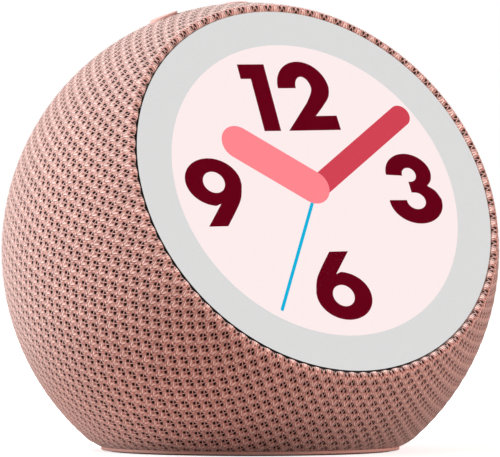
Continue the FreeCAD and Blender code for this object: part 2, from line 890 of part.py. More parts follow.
def base_plate():
    recess = s.foot_thickness
    step = rim_radius - s.rim_step
    spigot_inner = plate_spigot_radius - s.spigot_wall
    wide = foot_radius + s.foot_clearance
    body = revolve("base_plate_turned", [
        Corner(0, recess),
        Corner(wide, recess),
        Corner(wide, s.foot_stand),
        Corner(rim_radius - s.rim_round, s.foot_stand),
        Corner(rim_radius, s.foot_stand + s.rim_round,
               (rim_radius - s.rim_round, s.foot_stand + s.rim_round, s.rim_round)),
        Corner(rim_radius, rim_top),
        Corner(step, rim_top),
        Corner(step, wall_seat),
        Corner(plate_raised_radius, wall_seat),
        Corner(plate_raised_radius, floor_bottom),
        Corner(plate_spigot_radius, floor_bottom),
        Corner(plate_spigot_radius, floor_top),
        Corner(spigot_inner, floor_top),
        Corner(spigot_inner, recess + s.plate_floor),
        Corner(0, recess + s.plate_floor),
    ])
    cutters = [base_screw("plate_screw_cutter_%d" % number, x, y, s.screw_clearance)
               for number, (x, y) in enumerate(four_corners(base_screw_circle))]
    keep(cut("base_plate", body, *cutters))
    keep(pad("foot_pad", [Ring(0, 0, foot_radius)], s.foot_thickness))


def base_screw(label, x, y, clearance=zero):
    """A countersunk screw pointing up, its head level with the plate's recess."""
    clearance = sized(clearance)
    head = s.base_screw_head_radius + clearance
    shank = s.base_screw_radius + clearance
    bottom = s.foot_thickness
    body = revolve(label, [
        Corner(0, bottom),
        Corner(head, bottom),
        Corner(shank, bottom + s.base_screw_head_height),
        Corner(shank, bottom + base_screw_length),
        Corner(0, bottom + base_screw_length),
    ])
    bind(body, ".Placement.Base.x", x)
    bind(body, ".Placement.Base.y", y)
    return body


def base_screws():
    bodies = [base_screw("base_screw_%d" % number, x, y)
              for number, (x, y) in enumerate(four_corners(base_screw_circle))]
    keep(group("base_screws", bodies))


# Glass, printed border and the clear layer behind the picture area

def glass_stack():
    glass = revolve("cover_glass", [
        Corner(0, glass_back),
        Corner(s.glass_radius, glass_back),
        Corner(s.glass_radius, glass_front - s.glass_edge),
        Corner(s.glass_radius - s.glass_edge, glass_front,
               (s.glass_radius - s.glass_edge, glass_front - s.glass_edge, s.glass_edge)),
        Corner(0, glass_front),
    ])
    keep(in_screen_frame(glass))
    border = pad("border_print", [Ring(0, 0, s.glass_radius - s.print_margin), Ring(0, 0, picture_radius)],
                 s.print_thickness, print_back)
    keep(in_screen_frame(border))
    bond = pad("optical_bond", [Ring(0, 0, picture_radius)], s.print_thickness, print_back)
    keep(in_screen_frame(bond))


# Screen carrier: outer wall for the glass, plate for the screen, posts for the main board

def screen_carrier():
    outer_wall = carrier_radius - s.carrier_wall
    body = revolve("screen_carrier", [
        Corner(carrier_inner_radius, carrier_plate_bottom),
        Corner(ledge_inner_radius - s.plate_clearance, carrier_plate_bottom),
        Corner(ledge_inner_radius - s.plate_clearance, ledge_top),
        Corner(carrier_radius, ledge_top),
        Corner(carrier_radius, carrier_top),
        Corner(outer_wall, carrier_top),
        Corner(outer_wall, carrier_plate_top),
        Corner(carrier_inner_radius, carrier_plate_top),
    ])
    add_pad(body, rings(four_corners(carrier_post_circle), s.carrier_post_radius),
            s.carrier_post_height + s.carrier_plate / 2, board_front)
    add_pocket(body, rings(four_corners(carrier_post_circle), s.screw_radius),
               s.screw_length, board_front + s.screw_length)
    add_pocket(body, rings(four_corners(carrier_screw_circle), s.screw_radius + s.screw_clearance),
               carrier_plate_top - ledge_top + s.overrun, carrier_plate_top + s.overrun / 2)
    notch = rectangle(s.panel_tab_width / 2 + s.plate_clearance, s.overrun,
                      zero, -(panel_radius + s.panel_tab_reach))
    add_pocket(body, [notch], s.panel_thickness + s.tape_thickness, carrier_top)
    keep(in_screen_frame(body))
    tape_outer = carrier_radius - s.print_margin
    tape = pad("glass_adhesive", [Ring(0, 0, tape_outer), Ring(0, 0, tape_outer - s.tape_width)],
               s.tape_thickness, carrier_top)
    keep(in_screen_frame(tape))
    screws = [in_screen_frame(pan_screw("carrier_screw_%d" % number, x, y, carrier_plate_top,
                                        carrier_plate_top - ledge_top + s.screw_bite, s.narrow_head_radius))
              for number, (x, y) in enumerate(four_corners(carrier_screw_circle))]
    keep(group("carrier_screws", screws))


# Screen module: round panel with its driver tab, and the pressed tray behind it

def screen_module():
    tab_low = -(panel_radius + s.panel_tab_reach)
    body = pad("display_panel", [Ring(0, 0, panel_radius)], s.panel_thickness, print_back - s.panel_thickness)
    tab = rectangle(s.panel_tab_width / 2, s.panel_tab_reach, zero, tab_low + s.panel_tab_reach)
    add_pad(body, [tab], s.panel_thickness / 2, print_back - s.panel_thickness)
    keep(in_screen_frame(body))
    tray = revolve("backlight_tray", [
        Corner(0, tray_back),
        Corner(panel_radius, tray_back),
        Corner(panel_radius, tray_back + s.tray_thickness),
        Corner(0, tray_back + s.tray_thickness),
    ])
    keep(in_screen_frame(tray))


# Main board with its shielding can, heat spreader and connectors, screwed to the posts

def main_board():
    body = pad("main_board", [Ring(0, 0, board_radius)], s.board_thickness, board_back)
    add_pocket(body, rings(four_corners(carrier_post_circle), s.screw_radius + s.screw_clearance),
               s.board_thickness + s.overrun, board_front + s.overrun / 2)
    keep(in_screen_frame(body))
    screws = []
    for number, (x, y) in enumerate(four_corners(carrier_post_circle)):
        screw = pan_screw("board_screw_%d" % number, x, -y, -board_back, s.screw_length - s.board_thickness / 2)
        screw.Placement = FreeCAD.Placement(Vector(0, 0, 0), FreeCAD.Rotation(Vector(1, 0, 0), 180))
        bind(screw, ".Placement.Rotation.Angle", sized(270) - s.screen_lean)
        screws.append(raise_by(screw, centre_height))
    keep(group("board_screws", screws))
    can = pad("shield_can", [rectangle(s.can_length / 2, s.can_width / 2, zero, s.can_offset)],
              s.can_height, board_back - s.can_height)
    inside = rectangle(s.can_length / 2 - s.can_wall, s.can_width / 2 - s.can_wall, zero, s.can_offset)
    add_pocket(can, [inside], s.can_height - s.can_wall, board_back)
    keep(in_screen_frame(can))
    half_long = s.can_length / 2 + s.spreader_margin_long
    half_wide = s.can_width / 2 + s.spreader_margin_wide
    spreader = pad("heat_spreader", [rectangle(half_long, half_wide, zero, s.can_offset)],
                   s.spreader_thickness, spreader_back)
    grooves = int((half_long.value - s.spreader_groove_width.value) / s.spreader_groove_pitch.value)
    shapes = [rectangle(s.spreader_groove_width / 2, half_wide + s.overrun,
                        s.spreader_groove_pitch * place, s.can_offset) for place in range(-grooves, grooves + 1)]
    add_pocket(spreader, shapes, s.spreader_groove_depth, spreader_back + s.spreader_groove_depth)
    keep(in_screen_frame(spreader))
    places = [(zero, -connector_place), (-connector_place, -s.can_offset), (connector_place, -s.can_offset)]
    plugs = [in_screen_frame(pad("connector_%d" % number,
                                 [rectangle(s.connector_length / 2, s.connector_width / 2, x, y)],
                                 s.connector_height, connector_back))
             for number, (x, y) in enumerate(places)]
    keep(group("board_connectors", plugs))


# Buttons: three round caps on one frame, each over a small switch

frame_bottom = frame_top - s.frame_thickness
flange_top = frame_bottom - s.button_play
stem_bottom = flange_top - s.button_flange_thickness - s.button_stem_length
switch_top = stem_bottom - s.plunger_rise
board_top = switch_top - s.switch_height


def button(label, x):
    """A cap whose top follows the ball, a flange that stops it and a stem on the switch."""
    top_radius = ball_radius + s.button_proud
    turned = revolve(label + "_turned", [
        Corner(0, stem_bottom),
        Corner(s.button_stem_radius, stem_bottom),
        Corner(s.button_stem_radius, flange_top - s.button_flange_thickness),
        Corner(button_flange_radius, flange_top - s.button_flange_thickness),
        Corner(button_flange_radius, flange_top),
        Corner(s.button_radius, flange_top),
        Corner(s.button_radius, top_radius),
        Corner(0, top_radius),
    ])
    raise_by(turned, centre_height)
    bind(turned, ".Placement.Base.x", sized(x))
    bind(turned, ".Placement.Base.y", s.button_back)
    ball = raise_by(sphere(label + "_top", top_radius), centre_height)
    keep(common(label, turned, ball))


def buttons():
    names = ("volume_down", "talk", "volume_up")
    for name, (x, y) in zip(names, button_places()):
        button(name + "_button", x)
        plunger = pad(name + "_plunger", [Ring(x, y, s.plunger_radius)], s.plunger_rise + s.plunger_depth,
                      switch_top - s.plunger_depth)
        keep(raise_by(plunger, centre_height))


def button_frame():
    half_length = s.button_pitch + button_flange_radius
    half_width = s.button_radius + s.frame_margin
    board_bottom = board_top - s.button_board_thickness
    places = [(-frame_screw_place, s.button_back), (frame_screw_place, s.button_back)]
    guides = rings(button_places(), s.button_radius + s.guide_clearance)
    ports = rings([(-microphone_place, s.button_back), (microphone_place, s.button_back)],
                  s.microphone_port_radius)
    body = pad("button_frame", [rectangle(half_length, half_width, zero, s.button_back)] + guides + ports,
               s.frame_thickness, frame_bottom)
    add_pad(body, rings(places, s.frame_foot_radius), frame_bottom - board_top + s.frame_thickness / 2, board_top)
    add_pocket(body, rings(places, s.screw_radius + s.screw_clearance),
               frame_top - board_top + s.overrun, frame_top + s.overrun / 2)
    keep(raise_by(body, centre_height))
    board = pad("button_board", [rectangle(half_length, half_width, zero, s.button_back)]
                + rings(places, s.screw_radius + s.screw_clearance),
                s.button_board_thickness, board_bottom)
    keep(raise_by(board, centre_height))
    screws = []
    for number, (x, y) in enumerate(places):
        screw = pan_screw("frame_screw_%d" % number, x, -y, -board_bottom,
                          frame_top - board_bottom + s.screw_bite)
        screw.Placement = FreeCAD.Placement(Vector(0, 0, 0), FreeCAD.Rotation(Vector(1, 0, 0), 180))
        screws.append(raise_by(screw, centre_height))
    keep(group("button_frame_screws", screws))
    switches = []
    for number, (x, y) in enumerate(button_places()):
        switch = pad("switch_%d" % number, [rectangle(s.switch_side / 2, s.switch_side / 2, x, y)],
                     s.switch_height, board_top)
        add_pocket(switch, [Ring(x, y, s.plunger_radius + s.guide_clearance)],
                   s.plunger_depth + s.button_travel + s.button_play, switch_top)
        switches.append(raise_by(switch, centre_height))
    keep(group("switch_bodies", switches))
    capsules = [raise_by(pad("capsule_%d" % number, [rectangle(s.microphone_length / 2, s.microphone_width / 2,
                                                              microphone_place * side, s.button_back)],
                             s.microphone_height, board_top), centre_height)
                for number, side in enumerate((-1, 1))]
    keep(group("microphones", capsules))


# Loudspeaker, facing the back of the ball

def speaker_piece(thing):
    return keep(facing_back(thing, speaker_height))


def speaker_basket():
    step_floor = flange_front - s.flange_step_depth
    floor_hole = s.pole_radius + s.basket_hole_gap
    body = revolve("speaker_basket", [
        Corner(floor_hole, basket_back),
        Corner(s.basket_floor_radius, basket_back),
        Corner(mouth_radius + s.basket_wall, flange_back),
        Corner(s.flange_radius, flange_back),
        Corner(s.flange_radius, flange_front),
        Corner(flange_inner, flange_front),
        Corner(flange_inner, step_floor),
        Corner(mouth_radius, step_floor),
        Corner(mouth_radius, flange_back + s.basket_wall / 2),
        Corner(s.basket_floor_radius - s.basket_wall, basket_back + s.basket_wall),
        Corner(floor_hole, basket_back + s.basket_wall),
    ])
    inner = s.basket_floor_radius + s.window_margin
    outer = mouth_radius - s.window_margin
    along = cosine(s.window_half_angle)
    across = sine(s.window_half_angle)
    window = add_pocket(body, [[
        Corner(inner * along, -(inner * across), (0, 0, inner)),
        Corner(outer * along, -(outer * across)),
        Corner(outer * along, outer * across, (0, 0, outer)),
        Corner(inner * along, inner * across),
    ]], s.basket_depth + s.overrun, flange_front)
    repeat_round(body, window, 4)
    document.recompute()
    add_pocket(body, rings(four_corners(speaker_screw_circle), s.screw_radius + s.screw_clearance),
               s.flange_thickness + s.overrun, flange_front + s.overrun / 2)
    speaker_piece(body)
    gasket = pad("speaker_gasket", [Ring(0, 0, s.flange_radius), Ring(0, 0, flange_inner)]
                 + rings(four_corners(speaker_screw_circle), s.screw_radius + s.screw_clearance),
                 s.gasket_thickness, flange_front)
    speaker_piece(gasket)
    screws = []
    for number, (x, y) in enumerate(four_corners(speaker_screw_circle)):
        screw = pan_screw("speaker_screw_%d" % number, x, -y, -flange_back, s.screw_length,
                          s.narrow_head_radius)
        screw.Placement = FreeCAD.Placement(Vector(0, 0, 0), FreeCAD.Rotation(Vector(1, 0, 0), 90))
        screws.append(raise_by(screw, speaker_height))
    keep(group("speaker_screws", screws))


def speaker_motor():
    coil_outer = s.pole_radius + s.coil_gap + s.former_wall + s.winding_thickness
    plate = pad("top_plate", [Ring(0, 0, s.magnet_radius - s.top_plate_inset), Ring(0, 0, coil_outer + s.coil_gap)],
                s.top_plate_thickness, basket_back - s.top_plate_thickness)
    speaker_piece(plate)
    magnet = pad("speaker_magnet", [Ring(0, 0, s.magnet_radius), Ring(0, 0, magnet_bore)],
                 s.magnet_thickness, yoke_front)
    speaker_piece(magnet)
    yoke = revolve("pole_yoke", [
        Corner(0, yoke_front - s.yoke_thickness),
        Corner(yoke_radius, yoke_front - s.yoke_thickness),
        Corner(yoke_radius, yoke_front),
        Corner(s.pole_radius, yoke_front),
        Corner(s.pole_radius, basket_back),
        Corner(0, basket_back),
    ])
    speaker_piece(yoke)


def speaker_moving_parts():
    former_inner = s.pole_radius + s.coil_gap
    former_outer = former_inner + s.former_wall
    winding_outer = former_outer + s.winding_thickness
    former_top = basket_back + s.former_reach
    gap_middle = basket_back - s.top_plate_thickness / 2
    coil = revolve("voice_coil", [
        Corner(former_inner, former_top - s.former_length),
        Corner(former_outer, former_top - s.former_length),
        Corner(former_outer, gap_middle - s.winding_height / 2),
        Corner(winding_outer, gap_middle - s.winding_height / 2),
        Corner(winding_outer, gap_middle + s.winding_height / 2),
        Corner(former_outer, gap_middle + s.winding_height / 2),
        Corner(former_outer, former_top),
        Corner(former_inner, former_top),
    ])
    speaker_piece(coil)
    mouth = flange_front - s.flange_step_depth
    rim = mouth_radius - s.surround_roll * 2
    cone_edge = rim - s.surround_lap
    neck = former_top - s.cone_thickness
    cone = revolve("speaker_cone", [
        Corner(former_outer, neck),
        Corner(former_outer + s.cone_thickness, neck),
        Corner(cone_edge, mouth - s.cone_thickness),
        Corner(rim, mouth - s.cone_thickness),
        Corner(rim, mouth),
        Corner(cone_edge, mouth),
        Corner(former_outer, former_top),
    ])
    speaker_piece(cone)
    cap_radius = (former_outer * former_outer + s.cap_rise * s.cap_rise) / (s.cap_rise * 2)
    cap_centre = former_top + s.cap_rise - cap_radius
    inner_radius = cap_radius - s.cone_thickness
    cap_inner = other_leg(inner_radius, former_top - cap_centre)
    cap = revolve("dust_cap", [
        Corner(cap_inner, former_top),
        Corner(former_outer, former_top),
        Corner(0, former_top + s.cap_rise, (0, cap_centre, cap_radius)),
        Corner(0, former_top + s.cap_rise - s.cone_thickness),
        Corner(cap_inner, former_top, (0, cap_centre, inner_radius)),
    ][1:])
    speaker_piece(cap)
    surround(cone_edge, rim, mouth)
    spider(former_outer)


def surround(cone_edge, rim, foot):
    """Half roll of rubber from the cone's edge to the step in the basket's flange."""
    half = s.surround_roll
    middle = rim + half
    outside = mouth_radius
    top = foot + s.surround_thickness
    thick = half + s.surround_thickness
    land = flange_inner - s.glue_line
    body = revolve("surround", [
        Corner(cone_edge, foot),
        Corner(rim, foot),
        Corner(middle, foot + half, (middle, foot, half)),
        Corner(outside, foot, (middle, foot, half)),
        Corner(land, foot),
        Corner(land, top),
        Corner(middle + other_leg(thick, s.surround_thickness), top),
        Corner(middle, foot + thick, (middle, foot, thick)),
        Corner(middle - other_leg(thick, s.surround_thickness), top, (middle, foot, thick)),
        Corner(cone_edge, top),
    ])
    speaker_piece(body)


def spider(former_outer):
    """Corrugated disc that centres the coil, resting on the basket's floor."""
    outer = s.basket_floor_radius - s.basket_wall * 2
    base = basket_back + s.basket_wall
    waves = 6
    span = outer - former_outer
    under = []
    for place in range(waves + 1):
        lift = s.spider_wave if place % 2 else zero
        under.append((former_outer + span * (place / waves), base + s.spider_rise + lift))
    under[-1] = (outer, base)
    corners = [Corner(x, y) for x, y in under]
    corners += [Corner(x, y + s.spider_thickness) for x, y in reversed(under)]
    speaker_piece(revolve("spider", corners))


# Power inlet: a moulded recess in the rear shell with the socket behind it

def racetrack(half_length, radius):
    straight = half_length - radius
    return [
        Corner(-straight, -radius),
        Corner(straight, -radius),
        Corner(half_length, 0, (straight, 0, radius)),
        Corner(straight, radius, (straight, 0, radius)),
        Corner(-straight, radius),
        Corner(-half_length, 0, (-straight, 0, radius)),
        Corner(-straight, -radius, (-straight, 0, radius)),
    ][1:]


def power_inlet():
    floor_back = inlet_floor - s.inlet_plate
    outline = racetrack(inlet_plate_half, s.jack_side / 2)
    places = [(-inlet_screw_place, zero), (inlet_screw_place, zero)]
    body = pad("bush_solid", [outline], s.inlet_plate, floor_back)
    add_pad(body, [Ring(0, 0, inlet_outer_radius)], ball_radius - inlet_floor, inlet_floor - s.inlet_plate / 2)
    add_pocket(body, [Ring(0, 0, s.inlet_recess_radius)], ball_radius - inlet_floor, ball_radius)
    add_pocket(body, [Ring(0, 0, s.jack_nose_radius + s.inlet_fit)], ball_radius - floor_back + s.overrun,
               ball_radius)
    add_pocket(body, rings(places, s.inlet_screw_radius), s.inlet_plate + s.overrun, inlet_floor)
    facing_back(body, inlet_height)
    ball = raise_by(sphere("inlet_trim", ball_radius), centre_height)
    keep(common("inlet_bush", body, ball))
    jack = pad("dc_jack", [rectangle(s.jack_side / 2, s.jack_side / 2)], s.jack_depth,
               jack_back)
    add_pad(jack, [racetrack(inlet_plate_half, s.jack_side / 2)], s.jack_plate,
            floor_back - s.jack_plate)
    add_pad(jack, [Ring(0, 0, s.jack_nose_radius)], s.inlet_plate + s.jack_plate / 2,
            floor_back - s.jack_plate / 2)
    add_pocket(jack, [Ring(0, 0, s.jack_bore_radius), Ring(0, 0, s.jack_pin_radius)], s.jack_bore_depth, inlet_floor)
    add_pocket(jack, [Ring(0, 0, s.jack_bore_radius)], s.jack_pin_recess, inlet_floor)
    add_pocket(jack, rings(places, s.inlet_screw_radius + s.screw_clearance), s.jack_plate + s.overrun,
               floor_back + s.overrun / 2)
    keep(facing_back(jack, inlet_height))
    screws = []
    for number, (x, y) in enumerate(places):
        seat = s.jack_plate - floor_back
        screw = pan_screw("inlet_screw_%d" % number, x, y, seat,
                          s.inlet_plate + s.jack_plate - s.inlet_screw_short,
                          s.narrow_head_radius, s.inlet_screw_radius)
        screw.Placement = FreeCAD.Placement(Vector(0, 0, 0), FreeCAD.Rotation(Vector(1, 0, 0), 90))
        screws.append(raise_by(screw, inlet_height))
    keep(group("dc_jack_screws", screws))


knit_cover()
front_shell()
rear_shell()
shell_screws()
base_plate()
base_screws()
glass_stack()
screen_carrier()
screen_module()
main_board()
buttons()
button_frame()
speaker_basket()
speaker_motor()
speaker_moving_parts()
power_inlet()

document.recompute()

for thing in document.Objects:
    if "Invalid" in thing.State or "Error" in thing.State:
        raise ValueError("%s did not build: %s" % (thing.Label, thing.State))
for piece in pieces:
    shape = piece.Shape
    if shape.isNull() or not shape.isValid():
        raise ValueError("%s has no valid shape" % piece.Label)

os.makedirs("parts", exist_ok=True)
for piece in pieces:
    shape = piece.Shape
    shape.exportStep("parts/%s.step" % piece.Label)
    low = shape.BoundBox
    print("%-22s solids %d  volume %9.1f  x %6.1f %6.1f  y %6.1f %6.1f  z %6.1f %6.1f" % (
        piece.Label, len(shape.Solids), shape.Volume,
        low.XMin, low.XMax, low.YMin, low.YMax, low.ZMin, low.ZMax))
print(len(pieces), "nodes")
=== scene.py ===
# %% [markdown]
# # A talking clock in a knitted cover
# The clock is a ball with a slanted flat front. Behind the front's glass is a round screen,
# a stretched knit covers the ball, and three press buttons stand out of the knit on top.
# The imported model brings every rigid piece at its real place, in metres, so this lesson
# only adds what a solid can't show: the knit, the picture on the screen and the finishes.

# %% Load the clock
import math

import bpy
import numpy as np
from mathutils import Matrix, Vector


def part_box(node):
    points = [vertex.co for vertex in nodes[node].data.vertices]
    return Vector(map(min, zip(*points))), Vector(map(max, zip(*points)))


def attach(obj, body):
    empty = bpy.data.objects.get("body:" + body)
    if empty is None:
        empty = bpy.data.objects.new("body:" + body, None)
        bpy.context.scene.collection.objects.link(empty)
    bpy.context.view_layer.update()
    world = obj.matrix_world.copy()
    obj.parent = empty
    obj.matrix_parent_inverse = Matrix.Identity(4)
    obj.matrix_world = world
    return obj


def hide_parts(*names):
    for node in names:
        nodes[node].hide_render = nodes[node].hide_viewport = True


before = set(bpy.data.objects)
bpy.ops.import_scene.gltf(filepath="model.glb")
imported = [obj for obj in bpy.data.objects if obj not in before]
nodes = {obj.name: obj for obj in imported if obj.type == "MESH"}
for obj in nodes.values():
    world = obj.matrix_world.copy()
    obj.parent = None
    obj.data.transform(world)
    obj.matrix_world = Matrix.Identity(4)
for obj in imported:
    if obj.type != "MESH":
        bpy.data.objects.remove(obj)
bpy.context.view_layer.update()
print("pieces from the model:", len(nodes))

# %% [markdown]
# Sizes are written in millimetres, as a maker would, and one value turns them to metres.
# The glass and the base are read from the model, so that the new pieces sit exactly on
# the old ones. The ball's centre follows from its radius and from the circle it stands on.

# %% Sizes
MM = 0.001
BASE_LOW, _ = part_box("base_plate")
GLASS_LOW, GLASS_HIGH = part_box("cover_glass")
GLASS_RADIUS = (GLASS_HIGH.x - GLASS_LOW.x) / 2
LEAN = math.radians(25.7)
BALL_RADIUS = 55.0 * MM
BASE_RADIUS = 32.87 * MM
CENTRE = Vector((0, 0, math.sqrt(BALL_RADIUS ** 2 - BASE_RADIUS ** 2)))
FACING = Vector((0, -math.cos(LEAN), math.sin(LEAN)))
UPWARD = Vector((0, math.sin(LEAN), math.cos(LEAN)))
print("ball centre at", [round(value / MM, 2) for value in CENTRE], "mm")
print("glass radius %.2f mm" % (GLASS_RADIUS / MM))


def on_screen(x, y, height):
    """A point in the screen's own frame, as a point of the clock."""
    return CENTRE + Vector((1, 0, 0)) * x + UPWARD * y + FACING * height


# %% [markdown]
# ## Tools for this lesson
# Colours are noted as the hex codes of paint charts, and Blender calculates in linear
# light, so one function converts them. One more adds a node together with its settings
# and links, because a finish is easiest to read as a list of such lines.

# %% Colour and node helpers
def linear(code, share=1.0):
    """A hex colour in linear light, made darker or lighter by a share."""
    parts = [int(code[place:place + 2], 16) / 255 for place in (1, 3, 5)]
    parts = [part / 12.92 if part <= 0.04045 else ((part + 0.055) / 1.055) ** 2.4 for part in parts]
    return (*(part * share for part in parts), 1.0)


def node(tree, kind, links=None, stops=(), **settings):
    """Adds a node with its settings, its links or values, and a colour ramp's stops."""
    made = tree.nodes.new("ShaderNode" + kind)
    for name, value in settings.items():
        setattr(made, name, value)
    for socket, value in (links or {}).items():
        target = made.inputs[socket]
        if isinstance(value, bpy.types.NodeSocket):
            tree.links.new(value, target)
        else:
            target.default_value = value
    for number, (position, colour) in enumerate(stops):
        made.color_ramp.elements[number].position = position
        made.color_ramp.elements[number].color = colour
    return made


def new_material(name):
    """An empty material, its node tree and its output."""
    material = bpy.data.materials.new(name)
    material.use_nodes = True
    tree = material.node_tree
    tree.nodes.clear()
    return material, tree, node(tree, "OutputMaterial")


print("pure red in linear light:", linear("#FF0000"))

# %% [markdown]
# Blender's operators act on what is selected, and the loaded model is selected, so each
# new piece starts from an empty selection. A finished piece keeps its place in its mesh,
# with its object at the origin, and rides on a body of the clock.

# %% Piece helpers
def deselect():
    """Leaves edit mode and selects nothing."""
    if bpy.context.object and bpy.context.object.mode != "OBJECT":
        bpy.ops.object.mode_set(mode="OBJECT")
    bpy.ops.object.select_all(action="DESELECT")


def pick(piece):
    """Selects one piece alone, so that the operators act on nothing else."""
    deselect()
    piece.select_set(True)
    bpy.context.view_layer.objects.active = piece


def outward(piece):
    """Turns all faces of a piece to its outside."""
    pick(piece)
    bpy.ops.object.mode_set(mode="EDIT")
    bpy.ops.mesh.select_all(action="SELECT")
    bpy.ops.mesh.normals_make_consistent(inside=False)
    bpy.ops.object.mode_set(mode="OBJECT")


def settle(piece, name, body, material):
    """Applies the place, names the piece and puts it on a body."""
    pick(piece)
    bpy.ops.object.transform_apply(location=True, rotation=True, scale=True)
    piece.name = name
    piece.data.name = name
    piece.data.materials.clear()
    piece.data.materials.append(material)
    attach(piece, body)
    print(name, "faces:", len(piece.data.polygons))
    return piece


def choose_faces(piece, test):
    """Selects, in edit mode, the faces that pass the test."""
    bpy.ops.object.mode_set(mode="OBJECT")
    for item in (*piece.data.vertices, *piece.data.edges, *piece.data.polygons):
        item.select = False
    for face in piece.data.polygons:
        face.select = test(face)
    bpy.ops.object.mode_set(mode="EDIT")
    bpy.ops.mesh.select_mode(type="FACE")


# %% [markdown]
# ## The view
# The clock was photographed almost level, from 30 degrees to its right, with a long lens
# from more than a metre away. A long lens keeps the ball round and its screen a clean
# ellipse. The camera stands 5 mm above the ball's centre.

# %% Camera
CAMERA_AWAY = 1246 * MM
CAMERA_ASIDE = -0.07 * MM
CAMERA_UP = 5 * MM
scene = bpy.context.scene
scene.view_settings.view_transform = "Standard"
turn = math.radians(-30.4)
away = Vector((math.sin(turn), -math.cos(turn), 0))
aside = Vector((math.cos(turn), math.sin(turn), 0))
bpy.ops.object.camera_add()
camera = bpy.context.object
camera.location = CENTRE + away * CAMERA_AWAY + aside * CAMERA_ASIDE + Vector((0, 0, CAMERA_UP))
camera.rotation_euler = (math.radians(90), 0, turn)
camera.data.lens = 405.4
camera.data.sensor_width = 36
camera.data.clip_end = 20
scene.camera = camera
print("camera at", [round(value, 3) for value in camera.location])

# %% [markdown]
# ## Light and floor
# A large soft lamp above and to the left gives the knit its bright shoulder. A weak one
# fills the right, a warm one low behind the clock's right side gives back what a pale
# table would, and one at the left keeps the ball's outline light. Each lamp is a soft
# disk that faces the ball.

# %% Lamps
# Each row: name; metres towards the camera, to its right and up; width; power; colour.
LAMPS = [
    ("key_lamp", (0.16, -0.80, 1.28), 0.6, 29.5, "#E6F4FC"),
    ("fill_lamp", (0.5, 1.1, 0.25), 0.9, 4.0, "#FFFFFF"),
    ("low_lamp", (-0.10, 1.0, -0.02), 0.4, 4.5, "#FFCDBE"),
    ("side_lamp", (-0.15, -1.2, 0.15), 0.6, 7, "#FFFFFF"),
]
for name, (nearer, rightward, up), width, power, colour in LAMPS:
    place = CENTRE + (away * nearer + aside * rightward + Vector((0, 0, up)))
    bpy.ops.object.light_add(type="AREA", location=place)
    lamp = bpy.context.object
    lamp.name = name
    lamp.data.shape = "DISK"
    lamp.data.size = width
    lamp.data.energy = power
    lamp.data.color = linear(colour)[:3]
    lamp.rotation_euler = (place - CENTRE).to_track_quat("Z", "Y").to_euler()
print("lamps:", len(LAMPS))

# %% [markdown]
# The white world lights the rest, as the walls of a studio do. It is dim as a light and
# plain white where the camera, a gloss or a clear glass looks at it, so the background
# stays white without more light on the clock.

# %% World
WORLD_LIGHT = 0.40
world = bpy.data.worlds.new("studio")
scene.world = world
world.use_nodes = True
tree = world.node_tree
tree.nodes.clear()
rays = node(tree, "LightPath")
seen = node(tree, "Math", {0: rays.outputs["Is Camera Ray"], 1: rays.outputs["Is Glossy Ray"]},
            operation="MAXIMUM")
seen = node(tree, "Math", {0: seen.outputs[0], 1: rays.outputs["Is Transmission Ray"]},
            operation="MAXIMUM")
dim = node(tree, "Background", {"Color": linear("#FFF6F2"), "Strength": WORLD_LIGHT})
white = node(tree, "Background", {"Color": (1, 1, 1, 1), "Strength": 1.0})
mixed = node(tree, "MixShader", {0: seen.outputs[0], 1: dim.outputs[0], 2: white.outputs[0]})
node(tree, "OutputWorld", {"Surface": mixed.outputs[0]})
print("world nodes:", len(tree.nodes))

# %% [markdown]
# The floor is a pale paper sweep. The camera sees it with a glow that brings it to the
# background's white, and the clock's shadow stays on it. The clock itself gets only the
# floor's warm bounce. It lies a hair lower than the foot, so that the two don't flicker.

# %% Floor
FLOOR_DROP = 0.02 * MM
deselect()
bpy.ops.mesh.primitive_plane_add(size=8, location=(0, 0, -FLOOR_DROP))
floor = bpy.context.object
floor.name = "floor"
material, tree, output = new_material("white_sweep")
rays = node(tree, "LightPath")
grain = node(tree, "TexNoise", {"Scale": 40.0})
pale = node(tree, "ValToRGB", {"Fac": grain.outputs["Fac"]},
            stops=[(0.3, linear("#E9E5E2")), (0.7, linear("#EFECEA"))])
paper = node(tree, "BsdfDiffuse", {"Color": pale.outputs["Color"]})
glow = node(tree, "Emission", {"Color": (1, 1, 1, 1), "Strength": 0.72})
lit = node(tree, "AddShader", {0: paper.outputs[0], 1: glow.outputs[0]})
bounce = node(tree, "BsdfDiffuse", {"Color": linear("#CBABA4")})
shown = node(tree, "MixShader", {0: rays.outputs["Is Camera Ray"], 1: bounce.outputs[0], 2: lit.outputs[0]})
tree.links.new(shown.outputs[0], output.inputs["Surface"])
floor.data.materials.append(material)
print("floor at %.2f mm" % (floor.location.z / MM))

# %% [markdown]
# ## The knit's plan
# The cover is a stretched knitted tube. Its wales, the upright chains of stitches, run
# like meridians from the rim of the screen over the ball, and close on the power inlet,
# exactly opposite. Every second wale is half a repeat lower, which gives the staggered
# groups of three small eyelets. Near the table the fabric is drawn together, so the
# wales are closer there. A table of spacings and one function describe that, and the
# mesh follows them. Angles are in degrees: round the screen from straight down, and
# away from the screen's axis.

